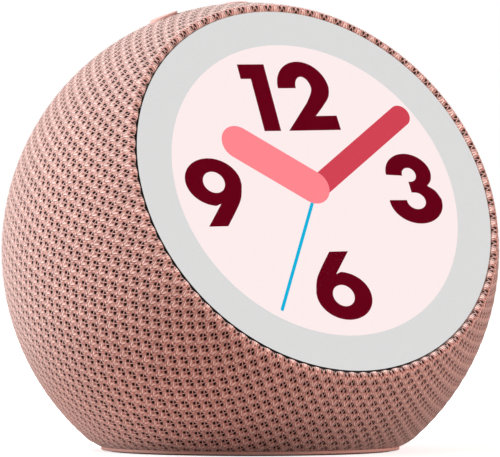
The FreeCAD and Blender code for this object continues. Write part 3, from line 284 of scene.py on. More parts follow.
# %% Knit counts and spacing
COLUMNS = 84            # pairs of wales round the screen
REPEAT = 3.58           # degrees that one stitch group takes along a wale
FIRST_ROW = 56.05       # degrees from the screen's axis to the first row
SAMPLES = 6             # mesh points in a column
ROW_STEP = 4            # mesh points in a repeat
WIDE_PITCH = 4.54       # degrees between columns away from the table
DRAWN_AT = 8            # where round the screen the fabric is drawn together most
DRAWN_SPREAD = 50       # how far round that reaches
DRAWN_BY = 0.92         # degrees by which the pitch is less there
ALIGNED_COLUMN = -68.2  # the angle at which the photograph shows a column's middle
angles = np.linspace(-180.0, 180.0, 3601)
drawn = np.exp(-((angles - DRAWN_AT) / DRAWN_SPREAD) ** 2)
density = 1 / (WIDE_PITCH - DRAWN_BY * drawn)
counted = np.concatenate([[0], np.cumsum((density[1:] + density[:-1]) / 2 * np.diff(angles))])
counted *= COLUMNS / counted[-1]
phase = np.interp(ALIGNED_COLUMN, angles, counted)
counted -= phase - round(phase)
print("wale pairs round the rim:", COLUMNS, "mean pitch %.2f degrees" % (360 / COLUMNS))


def wale_angle(columns):
    """The angle round the screen at which a count of columns is reached."""
    turns = np.floor((columns - counted[0]) / COLUMNS)
    return np.interp(columns - turns * COLUMNS, counted, angles) + 360 * turns


# %% [markdown]
# Between the screen and the table the rows also sag, and the wales are pulled together
# by a share. Both grow from the rim of the screen on, and are gone again at the back.

# %% Places in the knit
SAG = 3.1                         # degrees
PULL, PULL_SPREAD = 0.195, 40     # share, degrees round the screen
GROWS_FROM, GROWS_OVER = 56, 26   # degrees from the screen's axis
GONE_AT, GOES_OVER = 128, 34
MOST = 1.25


def knit_place(columns, rows):
    """Angles (round the screen, from the screen's axis) of a place in the knit."""
    round_angle = wale_angle(columns)
    offset = (round_angle - DRAWN_AT + 180) % 360 - 180
    plain = FIRST_ROW + rows * REPEAT
    strength = np.clip((plain - GROWS_FROM) / GROWS_OVER, 0, MOST)
    strength = strength * np.clip((GONE_AT - plain) / GOES_OVER, 0, 1)
    axis_angle = plain + SAG * np.exp(-(offset / DRAWN_SPREAD) ** 2) * strength
    round_angle = round_angle - PULL * offset * np.exp(-(offset / PULL_SPREAD) ** 2) * strength
    return round_angle, axis_angle


sagged = knit_place(counted[0] + COLUMNS / 2, 8.0)
print("a place 8 rows below the screen: %.1f and %.1f degrees" % sagged)


# %% [markdown]
# ## The knit's relief
# Seen closely, one stitch group is a little arch of three dark eyelets with two thin
# strands crossing it, and below it two plump strands that meet in a V. The same list of
# soft spots, in shares of one column's width, shapes both the mesh and the finish.
# Each spot is (x, y, half width, half height, lean in degrees, weight).

# %% Stitch table
EYELETS = [
    (0.000, 0.004, 0.086, 0.076, 0, 1.0),
    (-0.138, 0.148, 0.080, 0.128, -14, 1.0),
    (0.148, 0.142, 0.086, 0.138, 20, 1.0),
]
STRANDS = [
    (-0.066, 0.085, 0.026, 0.155, 27, 1.0),
    (0.070, 0.083, 0.026, 0.155, -27, 1.0),
]
PLUMP = [
    (-0.094, 0.515, 0.043, 0.175, 23, 1.0),
    (0.086, 0.505, 0.043, 0.180, -21, 1.0),
    (-0.085, 0.830, 0.055, 0.070, 12, 0.9),
    (0.085, 0.830, 0.045, 0.060, -12, 0.5),
    (-0.236, 0.450, 0.028, 0.160, 6, 0.6),
    (0.236, 0.450, 0.028, 0.160, -6, 0.6),
]
PITS = [
    (0.004, 0.335, 0.048, 0.080, -8, 0.95),
    (0.000, 0.745, 0.048, 0.056, 0, 1.0),
    (-0.175, 0.640, 0.024, 0.160, -8, 0.65),
    (0.170, 0.640, 0.024, 0.160, 8, 0.65),
]
GROUP_TOP = 0.12    # how far the top eyelet reaches above the group's own start
RIDGE, BULGE, HOLLOW = 0.45, 0.75, 0.9


def stitch_height(columns, rows):
    """Coarse height of the knit at a place: a ridge along the wale, a bulge at the plump
    strands and a hollow at the eyelets."""
    wale = np.round(columns * 2)
    x = columns - wale / 2
    y = (rows + wale / 2 + GROUP_TOP) % 1.0 - GROUP_TOP
    ridge = np.cos(x * 4 * np.pi)
    bulge = np.exp(-((y - 0.52) / 0.24) ** 2)
    hollow = np.exp(-(x / 0.22) ** 2 - ((y - 0.10) / 0.15) ** 2)
    return RIDGE * ridge + BULGE * bulge - HOLLOW * hollow


print("spots in one stitch group:", len(EYELETS + STRANDS + PLUMP + PITS))

# %% [markdown]
# ## The knit's mesh
# A UV sphere has exactly the grid that a knit has: meridians for wales and rings for
# courses. The cap over the screen is deleted first, so that the sphere's first ring
# becomes the first row of stitches.

# %% Sphere to knit
segments = COLUMNS * SAMPLES
rings = int(round(180 / (REPEAT / ROW_STEP)))
ring_pitch = 180 / rings
start_ring = int(math.ceil(FIRST_ROW / ring_pitch))


def mesh_points(piece):
    """The points of a mesh, as rows of x, y and z."""
    places = np.empty(len(piece.data.vertices) * 3)
    piece.data.vertices.foreach_get("co", places)
    return places.reshape(-1, 3)


def ring_numbers(places):
    """The ring of the sphere that each point is on, counted from its top."""
    from_top = np.degrees(np.arccos(np.clip(places[:, 2], -1, 1)))
    return np.round(from_top / ring_pitch).astype(int)


deselect()
bpy.ops.mesh.primitive_uv_sphere_add(segments=segments, ring_count=rings, radius=1.0)
sock = bpy.context.object
sock.name = "knit_sock"
on_ring = ring_numbers(mesh_points(sock))
choose_faces(sock, lambda face: min(on_ring[corner] for corner in face.vertices) < start_ring)
bpy.ops.mesh.delete(type="FACE")
bpy.ops.object.mode_set(mode="OBJECT")
print("points of the knit:", len(sock.data.vertices))

# %% [markdown]
# Each remaining point then slides along the sphere to its place in the knit plan, and in
# or out by the relief, which fades where the wales crowd at the inlet. The knit never
# passes the ball's true size.

# %% Slide the points to their stitches
FLAT = 54.93 * MM
RELIEF = 0.10 * MM
FADE = 26.0         # degrees from the inlet within which the relief fades
LEAST_RELIEF = 0.15


def polar(round_angle, axis_angle, radius):
    """Points on the ball, in the clock's frame; angles in degrees, radius in metres."""
    turned = np.radians(round_angle)
    tilted = np.radians(axis_angle)
    x = np.sin(tilted) * np.sin(turned)
    y = -np.sin(tilted) * np.cos(turned)
    z = np.cos(tilted)
    frame_axes = np.array([(1, 0, 0), tuple(UPWARD), tuple(FACING)])
    return (np.stack([x, y, z], 1) @ frame_axes) * np.reshape(radius, (-1, 1)) + np.array(CENTRE)


places = mesh_points(sock)
on_ring = ring_numbers(places)
on_segment = np.degrees(np.arctan2(places[:, 1], places[:, 0])) / (360 / segments)
columns = np.round(on_segment).astype(int) % segments / SAMPLES
rows = (on_ring - start_ring) / ROW_STEP
rows[on_ring == rings] = (180 - FIRST_ROW) / REPEAT
round_angle, axis_angle = knit_place(columns, rows)
crowding = np.clip((180 - axis_angle) / FADE, LEAST_RELIEF, 1)
radius = np.minimum(FLAT + RELIEF * stitch_height(columns, rows) * crowding, BALL_RADIUS)
sock.data.vertices.foreach_set("co", polar(round_angle, np.minimum(axis_angle, 180), radius).ravel())
sock.data.update()
print("rows from rim to inlet: %.1f" % rows.max())

# %% [markdown]
# The finish has to know where it is in the knit, so each corner's count of columns and
# rows is kept as a UV map. Near the inlet a knitter joins wales, two and then four into
# one, and the map counts them as joined.

# %% Columns and rows as a UV map
wales = sock.data.uv_layers[0]
wales.name = "wales"


def joined_wales(axis):
    """How many columns are knitted together this near the inlet: 1, 2 or 4."""
    return 1 if axis < 152 else 2 if axis < 166 else 4


def note_places(layer, face, face_columns, face_rows, joined=1):
    """Writes the knit's counts at a face's corners, also where the columns start again at 0."""
    crosses = max(face_columns) - min(face_columns) > COLUMNS / 2
    for loop, column, row in zip(face.loop_indices, face_columns, face_rows):
        if crosses and column < COLUMNS / 2:
            column += COLUMNS
        layer.data[loop].uv = (column / joined, row)


for face in sock.data.polygons:
    joined = joined_wales(max(axis_angle[corner] for corner in face.vertices))
    note_places(wales, face, [columns[corner] for corner in face.vertices],
                [rows[corner] for corner in face.vertices], joined)
print("UV map:", wales.name, "for", len(sock.data.polygons), "faces")

# %% [markdown]
# ### The rolled rim
# At the screen the knit turns in over the lip of the shell. As by hand, the open edge is
# extruded step by step round a small circle, and each column makes a little hump that
# just touches the glass, because a column's plump strands need more room than the
# eyelets between them. First come the tools that find the open edge, and a point's place
# as the screen sees it.

# %% Helpers for an open edge
def open_edge(piece, test):
    """Selects, in edit mode, the boundary edges whose points pass the test."""
    bpy.ops.object.mode_set(mode="EDIT")
    bpy.ops.mesh.select_mode(type="EDGE")
    bpy.ops.mesh.select_all(action="DESELECT")
    bpy.ops.mesh.select_non_manifold(extend=False, use_wire=False, use_boundary=True,
                                     use_multi_face=False, use_non_contiguous=False, use_verts=False)
    bpy.ops.object.mode_set(mode="OBJECT")
    for edge in piece.data.edges:
        if edge.select and not all(test(piece.data.vertices[corner].co) for corner in edge.vertices):
            edge.select = False
    bpy.ops.object.mode_set(mode="EDIT")


def chosen_points(piece):
    """The selected points, in object mode."""
    bpy.ops.object.mode_set(mode="OBJECT")
    return [point for point in piece.data.vertices if point.select]


def screen_place(point):
    """(round angle, distance from the screen's axis, height along it) of a point."""
    offset = point - CENTRE
    across = offset.x
    upward = offset.dot(UPWARD)
    return math.degrees(math.atan2(across, -upward)), math.hypot(across, upward), offset.dot(FACING)


def columns_at(angle):
    """The count of columns at an angle round the screen."""
    return float(np.interp((angle + 180) % 360 - 180, angles, counted))


print("column straight below the screen: %.2f" % columns_at(0))

# %% [markdown]
# The circle is gone round in nine steps, and two more go straight down between the glass
# and the lip. Its inner half is squared, as the lip under it is, so that hardly a gap is
# left beside the glass.

# %% Roll the rim
LIP_RADIUS = 44.75 * MM      # the fold's centre line, from the screen's axis
FOLD_HEIGHT = 30.40 * MM     # and along it
FOLD = 0.9 * MM              # the fold's own radius
FOLD_START = 34.2            # degrees round the fold at which the ball ends
FOLD_SHARES = (0.0, 0.13, 0.26, 0.38, 0.52, 0.64, 0.76, 0.88, 1.0)
FOLD_HEMS = (1.0 * MM, 2.6 * MM)
SQUARED = 0.6                # below 1, the inner half of the circle is squarer
TO_GLASS = 0.29 * MM
HUMP_TO_GLASS = 0.05 * MM
RAISED = 0.14 * MM


def fold_place(point, turn_in, sink, first):
    """Where a point of the open edge goes at one step round the fold."""
    angle, _, _ = screen_place(point)
    hump = math.cos(columns_at(angle) * 2 * math.pi)
    swell = FOLD * (0.97 if first else 0.99 + 0.09 * hump)
    across, upward = math.cos(turn_in), math.sin(turn_in)
    if across < 0:
        across, upward = -((-across) ** SQUARED), max(upward, 0) ** SQUARED
    distance = LIP_RADIUS + across * swell
    if not first:
        distance -= (TO_GLASS + HUMP_TO_GLASS * hump) * math.sin(turn_in / 2)
    height = FOLD_HEIGHT + upward * (swell + RAISED) - sink
    side = math.radians(angle)
    return on_screen(distance * math.sin(side), -distance * math.cos(side), height)


steps = [(math.radians(FOLD_START + (180 - FOLD_START) * share), 0) for share in FOLD_SHARES]
steps += [(math.radians(180), hem) for hem in FOLD_HEMS]
open_edge(sock, lambda point: screen_place(point)[2] > 25 * MM)
for number, (turn_in, sink) in enumerate(steps):
    bpy.ops.mesh.extrude_region_move()
    for point in chosen_points(sock):
        point.co = fold_place(point.co, turn_in, sink, number == 0)
    bpy.ops.object.mode_set(mode="EDIT")
    bpy.ops.mesh.select_mode(type="EDGE")
bpy.ops.object.mode_set(mode="OBJECT")
print("steps of the roll:", len(steps))

# %% [markdown]
# The new faces carry on the count of rows backwards, by the length of fabric that each
# takes, so the stitches run over the fold without a break.

# %% Rows on the rolled rim
REPEAT_LENGTH = 3.44 * MM    # the length of 3.58 degrees on the ball
ROLL_DEPTH = 4 * MM
ROLL_REACH = 46.5 * MM
ROW_OFFSET = 0.03
wales = sock.data.uv_layers["wales"]
rolled = 0
for face in sock.data.polygons:
    places = [screen_place(sock.data.vertices[corner].co) for corner in face.vertices]
    if min(height for _, _, height in places) < FOLD_HEIGHT - ROLL_DEPTH or places[0][1] > ROLL_REACH:
        continue
    if max(math.degrees(math.atan2(distance, height)) for _, distance, height in places) > FIRST_ROW + 0.2:
        continue
    rolled += 1
    face_rows = []
    for _, distance, height in places:
        bend = math.pi
        if height >= FOLD_HEIGHT:
            bend = max(math.atan2(height - FOLD_HEIGHT, distance - LIP_RADIUS), 0)
        length = (bend - math.radians(FOLD_START)) * FOLD + max(FOLD_HEIGHT - height, 0)
        face_rows.append(-length / REPEAT_LENGTH - ROW_OFFSET)
    note_places(wales, face, [columns_at(angle) for angle, _, _ in places], face_rows)
print("faces in the rolled rim:", rolled)

# %% [markdown]
# ### Openings in the knit
# The real cover has a hemmed opening for each button, one for the power inlet and a
# wide one for the base. Faces inside each opening are deleted, the edge that is left is
# pulled onto the exact outline and extruded inwards as a hem.

# %% Cut the openings
BUTTONS = ("volume_down", "talk", "volume_up")
BUTTON_HOLE = 3.15 * MM
INLET_HOLE = 6.42 * MM
HEM = 0.8 * MM


def open_hole(centre, radius, flat_axes, depth, inside):
    """Opens a round hole seen along one axis, and turns its edge in by depth."""
    first, second = flat_axes

    def distance(point):
        return math.hypot(point[first] - centre[first], point[second] - centre[second])

    choose_faces(sock, lambda face: inside(face.center) and distance(face.center) < radius)
    bpy.ops.mesh.delete(type="FACE")
    open_edge(sock, lambda point: inside(point) and distance(point) < radius + 1.5 * MM)
    for point in chosen_points(sock):
        stretch = radius / distance(point.co)
        point.co[first] = centre[first] + (point.co[first] - centre[first]) * stretch
        point.co[second] = centre[second] + (point.co[second] - centre[second]) * stretch
    bpy.ops.object.mode_set(mode="EDIT")
    bpy.ops.mesh.extrude_region_move()
    bpy.ops.transform.translate(value=depth)
    bpy.ops.object.mode_set(mode="OBJECT")


for name in BUTTONS:
    low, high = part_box(name + "_button")
    open_hole((low + high) / 2, BUTTON_HOLE, (0, 1), (0, 0, -HEM), lambda point: point[2] > 80 * MM)
low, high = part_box("inlet_bush")
inlet = Vector((0, high.y, (low.z + high.z) / 2))
open_hole(inlet, INLET_HOLE, (0, 2), (0, -HEM, 0), lambda point: point[1] > 30 * MM)
print("knit after the round openings:", len(sock.data.polygons), "faces")

# %% [markdown]
# At the base the knit is cut level just above the rim, drawn in to it over the last few
# tenths of a millimetre, and turned under.

# %% Cut the base
BASE_CUT = 0.78 * MM
TUCK_FROM = 2.6 * MM
TUCK_SPAN = 1.6 * MM
TUCK = 0.029
pick(sock)
bpy.ops.object.mode_set(mode="EDIT")
bpy.ops.mesh.select_all(action="SELECT")
bpy.ops.mesh.bisect(plane_co=(0, 0, BASE_LOW.z + BASE_CUT), plane_no=(0, 0, 1), clear_inner=True)
bpy.ops.object.mode_set(mode="OBJECT")
for point in sock.data.vertices:
    if point.co.z < TUCK_FROM:
        tuck = 1 - TUCK * ((TUCK_FROM - point.co.z) / TUCK_SPAN) ** 1.5
        point.co.x *= tuck
        point.co.y *= tuck
open_edge(sock, lambda point: point[2] < 2 * MM)
bpy.ops.mesh.extrude_region_move()
bpy.ops.transform.resize(value=(0.975, 0.975, 1), center_override=(0, 0, 0))
bpy.ops.object.mode_set(mode="OBJECT")
print("knit after all openings:", len(sock.data.polygons), "faces")

# %% [markdown]
# ### The knit's finish
# The yarn is matt spun polyester in old rose. In the finish every wale is folded onto
# one stitch group, and each spot of the stitch table becomes a soft oval. A helper adds
# the ovals of one list and keeps the strongest at each place, so that they never add up.

# %% Spot helper
def spots_at(tree, place, spots, soft=0.55):
    """The largest of several soft ovals at a place: 0 outside, their weight inside."""
    total = None
    for x, y, half_x, half_y, lean, weight in spots:
        local = node(tree, "Mapping", {"Vector": place, "Location": (x, y, 0), "Scale": (half_x, half_y, 1),
                                       "Rotation": (0, 0, math.radians(-lean))}, vector_type="TEXTURE")
        reach = node(tree, "VectorMath", {0: local.outputs[0]}, operation="LENGTH")
        oval = node(tree, "MapRange", {"Value": reach.outputs["Value"], 1: 1 + soft, 2: 1 - soft,
                                       3: 0.0, 4: weight}, interpolation_type="SMOOTHSTEP").outputs[0]
        if total is None:
            total = oval
        else:
            total = node(tree, "Math", {0: total, 1: oval}, operation="MAXIMUM").outputs[0]
    return total


# %% [markdown]
# The UV map counts columns and rows. Rounding twice the column gives the wale, and what
# is left over is the place inside the stitch group. Every second wale starts half a
# repeat lower. One random value for each group moves it a little, as in real knitting.

# %% Place inside a stitch group
knit, tree, output = new_material("knitted_polyester_yarn")
plan = node(tree, "UVMap", uv_map="wales")
split = node(tree, "SeparateXYZ", {0: plan.outputs[0]})
column, row = split.outputs["X"], split.outputs["Y"]
double = node(tree, "Math", {0: column, 1: 2.0}, operation="MULTIPLY")
wale = node(tree, "Math", {0: double.outputs[0]}, operation="ROUND")
half_wale = node(tree, "Math", {0: wale.outputs[0], 1: 0.5}, operation="MULTIPLY")
x = node(tree, "Math", {0: column, 1: half_wale.outputs[0]}, operation="SUBTRACT").outputs[0]
shifted = node(tree, "Math", {0: row, 1: half_wale.outputs[0]}, operation="ADD")
lifted = node(tree, "Math", {0: shifted.outputs[0], 1: GROUP_TOP}, operation="ADD")
wrapped = node(tree, "Math", {0: lifted.outputs[0]}, operation="FRACT")
y = node(tree, "Math", {0: wrapped.outputs[0], 1: GROUP_TOP}, operation="SUBTRACT").outputs[0]
group = node(tree, "Math", {0: lifted.outputs[0]}, operation="FLOOR")
cell = node(tree, "CombineXYZ", {"X": wale.outputs[0], "Y": group.outputs[0]})
chance = node(tree, "TexWhiteNoise", {0: cell.outputs[0]}, noise_dimensions="2D")
uneven = node(tree, "VectorMath", {0: chance.outputs["Color"], 1: (0.5, 0.5, 0.5)}, operation="SUBTRACT")
uneven = node(tree, "VectorMath", {0: uneven.outputs[0], 1: (0.020, 0.030, 0)}, operation="MULTIPLY")
place = node(tree, "CombineXYZ", {"X": x, "Y": y})
place = node(tree, "VectorMath", {0: place.outputs[0], 1: uneven.outputs[0]}, operation="ADD").outputs[0]
print("nodes that find the stitch group:", len(tree.nodes))

# %% [markdown]
# Eyelets are real holes, and their darkness is painted shade. Seen at a flat angle the yarn
# hides them, and on the rolled rim they are stretched shut, so they fade at both. A groove
# lies between one wale and the next.

# %% Eyelets, strands and grooves
eyelets = spots_at(tree, place, EYELETS, 0.42)
strands = spots_at(tree, place, STRANDS, 0.6)
plump = spots_at(tree, place, PLUMP, 0.6)
pits = spots_at(tree, place, PITS)
beside = node(tree, "Math", {0: x}, operation="ABSOLUTE").outputs[0]
groove = node(tree, "MapRange", {"Value": beside, 1: 0.19, 2: 0.25, 3: 0.0, 4: 0.35},
              interpolation_type="SMOOTHSTEP").outputs[0]
at_rim = node(tree, "MapRange", {"Value": row, 1: -0.42, 2: -0.14, 3: 0.8, 4: 1.0})
slant = node(tree, "LayerWeight", {"Blend": 0.5})
open_seen = node(tree, "MapRange", {"Value": slant.outputs["Facing"], 1: 0.42, 2: 0.95, 3: 1.0, 4: 0.42},
                 interpolation_type="SMOOTHSTEP")
open_seen = node(tree, "Math", {0: at_rim.outputs[0], 1: open_seen.outputs[0]}, operation="MULTIPLY")
uncrossed = node(tree, "Math", {0: 1.0, 1: strands}, operation="SUBTRACT")
dark = node(tree, "Math", {0: eyelets, 1: uncrossed.outputs[0]}, operation="MULTIPLY")
dark = node(tree, "Math", {0: dark.outputs[0], 1: open_seen.outputs[0]}, operation="MULTIPLY").outputs[0]
crossing = node(tree, "Math", {0: strands, 1: eyelets}, operation="MULTIPLY").outputs[0]
print("spots drawn:", len(EYELETS + STRANDS + PLUMP + PITS))

# %% [markdown]
# The yarn is twisted from plies, which show as fine lines that slant to both sides of a
# wale, and its fibres give a grain. Real fibres are 0.02 mm thick and would not show, so
# they are drawn as coarse as the picture needs.

# %% Fibres and plies
FIBRE_MM = 0.22
BLOTCH_MM = 9
PLY_PITCH = 0.105
PLY_SLANT = (0.915, 0.405)    # across and along the wale
FIBRE_SWAY = 0.05
yarn_place = node(tree, "TexCoord").outputs["Object"]
fibres = node(tree, "TexNoise", {"Vector": yarn_place, "Scale": 1 / (FIBRE_MM * MM), "Detail": 3.0,
                                 "Roughness": 0.6}).outputs["Fac"]
blotches = node(tree, "TexNoise", {"Vector": yarn_place, "Scale": 1 / (BLOTCH_MM * MM), "Detail": 2.0})
across = node(tree, "Math", {0: beside, 1: PLY_SLANT[0]}, operation="MULTIPLY")
across = node(tree, "Math", {0: y, 1: PLY_SLANT[1], 2: across.outputs[0]}, operation="MULTIPLY_ADD")
across = node(tree, "Math", {0: fibres, 1: FIBRE_SWAY, 2: across.outputs[0]}, operation="MULTIPLY_ADD")
across = node(tree, "Math", {0: across.outputs[0], 1: 2 * math.pi / PLY_PITCH}, operation="MULTIPLY")
plies = node(tree, "Math", {0: across.outputs[0]}, operation="SINE").outputs[0]
print("plies in a column's width: %.0f" % (1 / PLY_PITCH))

# %% [markdown]
# The colour starts as old rose, the yarn's own colour, and turns to light rose on the plump
# strands as a painted highlight, to brown in the grooves and pits and to nearly black in the
# eyelets as painted shade. Thin strands cross these in light rose, a painted highlight. Several
# faint changes of brightness, from fibre to broad patch, keep it from looking printed, and the
# fold at the glass is painted lighter, a painted highlight as its loops stand up to the light.

# %% Colour of the yarn
# Light rose on the plump strands is a painted highlight over the old-rose yarn colour.
shade = node(tree, "Mix", {"Factor": plump, 6: linear("#C98D80"), 7: linear("#FFD9CD")},
             data_type="RGBA").outputs[2]
# Brown in grooves and pits and near-black in eyelets are painted shade; light rose where strands cross
# eyelets is a painted highlight.
for factor, code in ((groove, "#B97F75"), (pits, "#7A3C33"), (dark, "#190504"), (crossing, "#F2C4B8")):
    shade = node(tree, "Mix", {"Factor": factor, 6: shade, 7: linear(code)}, data_type="RGBA").outputs[2]
# Each row: what changes the brightness, between which values, and by which factors there.
CHANGES = [
    (fibres, 0.3, 0.7, 0.90, 1.08),
    (chance.outputs["Value"], 0.0, 1.0, 0.95, 1.05),
    (blotches.outputs["Fac"], 0.3, 0.7, 0.97, 1.03),
    # Painted shade and highlight: ply lines darken to 0.74 in their grooves and lighten to 1.19 on their
    # crowns; the bump gives their real relief.
    (plies, -1.0, 1.0, 0.74, 1.19),
    # Painted highlight: the rolled fold at the glass, below row 0, is made up to 1.35 times lighter.
    (row, -0.30, 0.05, 1.35, 1.0),
]
for source, low, high, first, last in CHANGES:
    change = node(tree, "MapRange", {"Value": source, 1: low, 2: high, 3: first, 4: last}).outputs[0]
    shade = node(tree, "VectorMath", {0: shade, "Scale": change}, operation="SCALE").outputs[0]
print("changes of brightness:", len(CHANGES))

# %% [markdown]
# The same masks raise and sink the surface in a bump. The cloth is rough, with a strong
# pale sheen from fibre ends that stand off the yarn. Where an eyelet is dark, the sheen
# gives way to a plain dark brown of painted shade, so that the holes never look dusty.

# %% Relief and surface of the yarn
BUMP_DEPTH = 0.30 * MM
DEEPEST = 0.9
RISES = [(strands, 0.35), (dark, -1.0), (pits, -0.4), (groove, -0.6), (plies, 0.14), (fibres, 0.15)]
height = node(tree, "Math", {0: plump, 1: 0.6, 2: 0.45}, operation="MULTIPLY_ADD")
for mask, rise in RISES:
    height = node(tree, "Math", {0: mask, 1: rise, 2: height.outputs[0]}, operation="MULTIPLY_ADD")
relief = node(tree, "Bump", {"Height": height.outputs[0], "Distance": BUMP_DEPTH, "Strength": 0.8})
cloth = node(tree, "BsdfPrincipled", {"Base Color": shade, "Roughness": 0.92,
                                      "Normal": relief.outputs[0], "Specular IOR Level": 0.25,
                                      "Sheen Weight": 0.9, "Sheen Roughness": 0.5,
                                      "Sheen Tint": linear("#FFF6F0")})
# Painted shade: a plain dark-brown diffuse for the inside of the open eyelets.
hole_painted_shade = node(tree, "BsdfDiffuse", {"Color": linear("#240A07")})
through = node(tree, "Math", {0: dark, 1: DEEPEST}, operation="MULTIPLY")
fabric = node(tree, "MixShader", {0: through.outputs[0], 1: cloth.outputs[0], 2: hole_painted_shade.outputs[0]})
tree.links.new(fabric.outputs[0], output.inputs["Surface"])
print("nodes of the yarn:", len(tree.nodes))

# %% [markdown]
# With its finish on, the knit takes the place of the plain cover of the model.

# %% Finish the cover
outward(sock)
bpy.ops.object.shade_smooth()
settle(sock, "knit_sock", "housing", knit)
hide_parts("knit_cover")

# %% [markdown]
# ## Moulded plastics
# The button caps and the rim that shows under the ball are moulded in the same rose as
# the yarn, with a fine matt grain from the mould. The same recipe, in other colours and
# grains, gives the hidden plastics.

# %% Moulded plastic recipe
def moulded(name, code, roughness=0.58, grain_mm=0.25, depth_mm=0.012, mottle=0.03, cloud_mm=14):
    """A plastic with the mould's grain in its gloss and relief, and faint clouds of colour."""
    material, tree, output = new_material(name)
    place = node(tree, "TexCoord").outputs["Object"]
    grain = node(tree, "TexNoise", {"Vector": place, "Scale": 1 / (grain_mm * MM), "Detail": 4.0})
    clouds = node(tree, "TexNoise", {"Vector": place, "Scale": 1 / (cloud_mm * MM), "Detail": 2.0})
    colour = node(tree, "ValToRGB", {"Fac": clouds.outputs["Fac"]},
                  stops=[(0.3, linear(code, 1 - mottle)), (0.7, linear(code, 1 + mottle))])
    rough = node(tree, "MapRange", {"Value": grain.outputs["Fac"], 1: 0.3, 2: 0.7,
                                    3: roughness - 0.06, 4: roughness + 0.06})
    bumps = node(tree, "Bump", {"Height": grain.outputs["Fac"], "Distance": depth_mm * MM, "Strength": 0.6})
    surface = node(tree, "BsdfPrincipled", {"Base Color": colour.outputs["Color"], "IOR": 1.5,
                                            "Roughness": rough.outputs[0], "Normal": bumps.outputs[0]})
    tree.links.new(surface.outputs[0], output.inputs["Surface"])
    return material


# Fine spark-eroded moulds leave the rose parts silky matt.
rose_abs = moulded("rose_moulded_abs", "#D8A79C")
# The shell under the knit is unpainted, so it is coarser, and brown to not shine through.
hidden_abs = moulded("brown_moulded_abs", "#6B4A44", 0.55, 0.4, 0.02)
# Black inner mouldings keep the screen's light from leaking.
black_abs = moulded("black_moulded_abs", "#17171A", 0.5, 0.3, 0.015)
# Connectors are of undyed nylon, cream and slightly waxy.
nylon = moulded("cream_moulded_nylon", "#E6E0CF", 0.5, 0.3, 0.01)
# Switches are of filled polyester, a duller black.
switch_pbt = moulded("black_moulded_pbt", "#1B1B1D", 0.6, 0.2, 0.01)
print("first moulded plastic:", rose_abs.name)

# %% [markdown]
# ### Button caps
# A cap is a turned piece: a plain cylinder whose top edge gets a round, a shallow dish
# for the fingertip, and a flange that keeps it in the shell. Starting from a cylinder
# and bevelling its rim is how one would draw it by hand. Each cap moves with its own
# body, down onto its switch.

# %% Build the caps
CAP_RADIUS = 3.0 * MM
FLANGE_RADIUS = 3.8 * MM
FOOT_RADIUS = 1.3 * MM
FLANGE_DEPTH = 1.0 * MM
FOOT_DEPTH = 0.55 * MM
PROUD = {"volume_down": 0.65 * MM, "talk": 0.5 * MM, "volume_up": 0.65 * MM}
DISH_DEPTH = 0.22 * MM
DISH_SHARE = 0.72
CAP_DROP = 0.02 * MM
ROUNDING = 0.35 * MM


def button_cap(name):
    """Builds one cap in place of the model's plain button."""
    low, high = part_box(name + "_button")
    middle = (low + high) / 2

    def ball_top(x, y):
        return CENTRE.z + math.sqrt((BALL_RADIUS + PROUD[name]) ** 2 - x ** 2 - y ** 2)

    top = ball_top(middle.x, middle.y)
    bottom = low.z + FLANGE_DEPTH + FOOT_DEPTH
    deselect()
    bpy.ops.mesh.primitive_cylinder_add(vertices=64, radius=CAP_RADIUS, depth=top - bottom,
                                        location=(middle.x, middle.y, (top + bottom) / 2))
    cap = bpy.context.object
    bpy.ops.object.transform_apply(location=True, rotation=True, scale=True)
    choose_faces(cap, lambda face: face.normal.z > 0.9)
    for width in (0.45, 0.5, 0.9, 0.7):
        bpy.ops.mesh.inset(thickness=width * MM)
    bpy.ops.mesh.poke()
    bpy.ops.object.mode_set(mode="OBJECT")
    for point in cap.data.vertices:
        if point.co.z > top - 0.01 * MM:
            off = math.hypot(point.co.x - middle.x, point.co.y - middle.y) / CAP_RADIUS
            dish = DISH_DEPTH * max(0, 1 - (off / DISH_SHARE) ** 2)
            point.co.z = ball_top(point.co.x, point.co.y) - dish - CAP_DROP
    choose_faces(cap, lambda face: face.normal.z < -0.9)
    wider = FLANGE_RADIUS / CAP_RADIUS
    bpy.ops.mesh.extrude_region_move()
    bpy.ops.transform.resize(value=(wider, wider, 1), center_override=tuple(middle))
    bpy.ops.mesh.extrude_region_move(TRANSFORM_OT_translate={"value": (0, 0, -FLANGE_DEPTH)})
    narrower = FOOT_RADIUS / FLANGE_RADIUS
    bpy.ops.mesh.extrude_region_move()
    bpy.ops.transform.resize(value=(narrower, narrower, 1), center_override=tuple(middle))
    bpy.ops.mesh.extrude_region_move(TRANSFORM_OT_translate={"value": (0, 0, -FOOT_DEPTH)})
    outward(cap)
    rounding = cap.modifiers.new("rounding", "BEVEL")
    rounding.width = ROUNDING
    rounding.segments = 4
    rounding.limit_method = "ANGLE"
    rounding.angle_limit = math.radians(50)
    bpy.ops.object.modifier_apply(modifier="rounding")
    bpy.ops.object.shade_smooth_by_angle(angle=math.radians(35))
    settle(cap, name + "_cap", name, rose_abs)
    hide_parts(name + "_button")


for name in BUTTONS:
    button_cap(name)

# %% [markdown]
# ## The picture on the screen
# The screen shows a clock face: pale pink, with four dark red numerals and three hands
# without a hub. It is the lit part of the clock, so its colours come from the screen and
# not from the lamps. A screen's light is even, with the faint grain of its pixels.

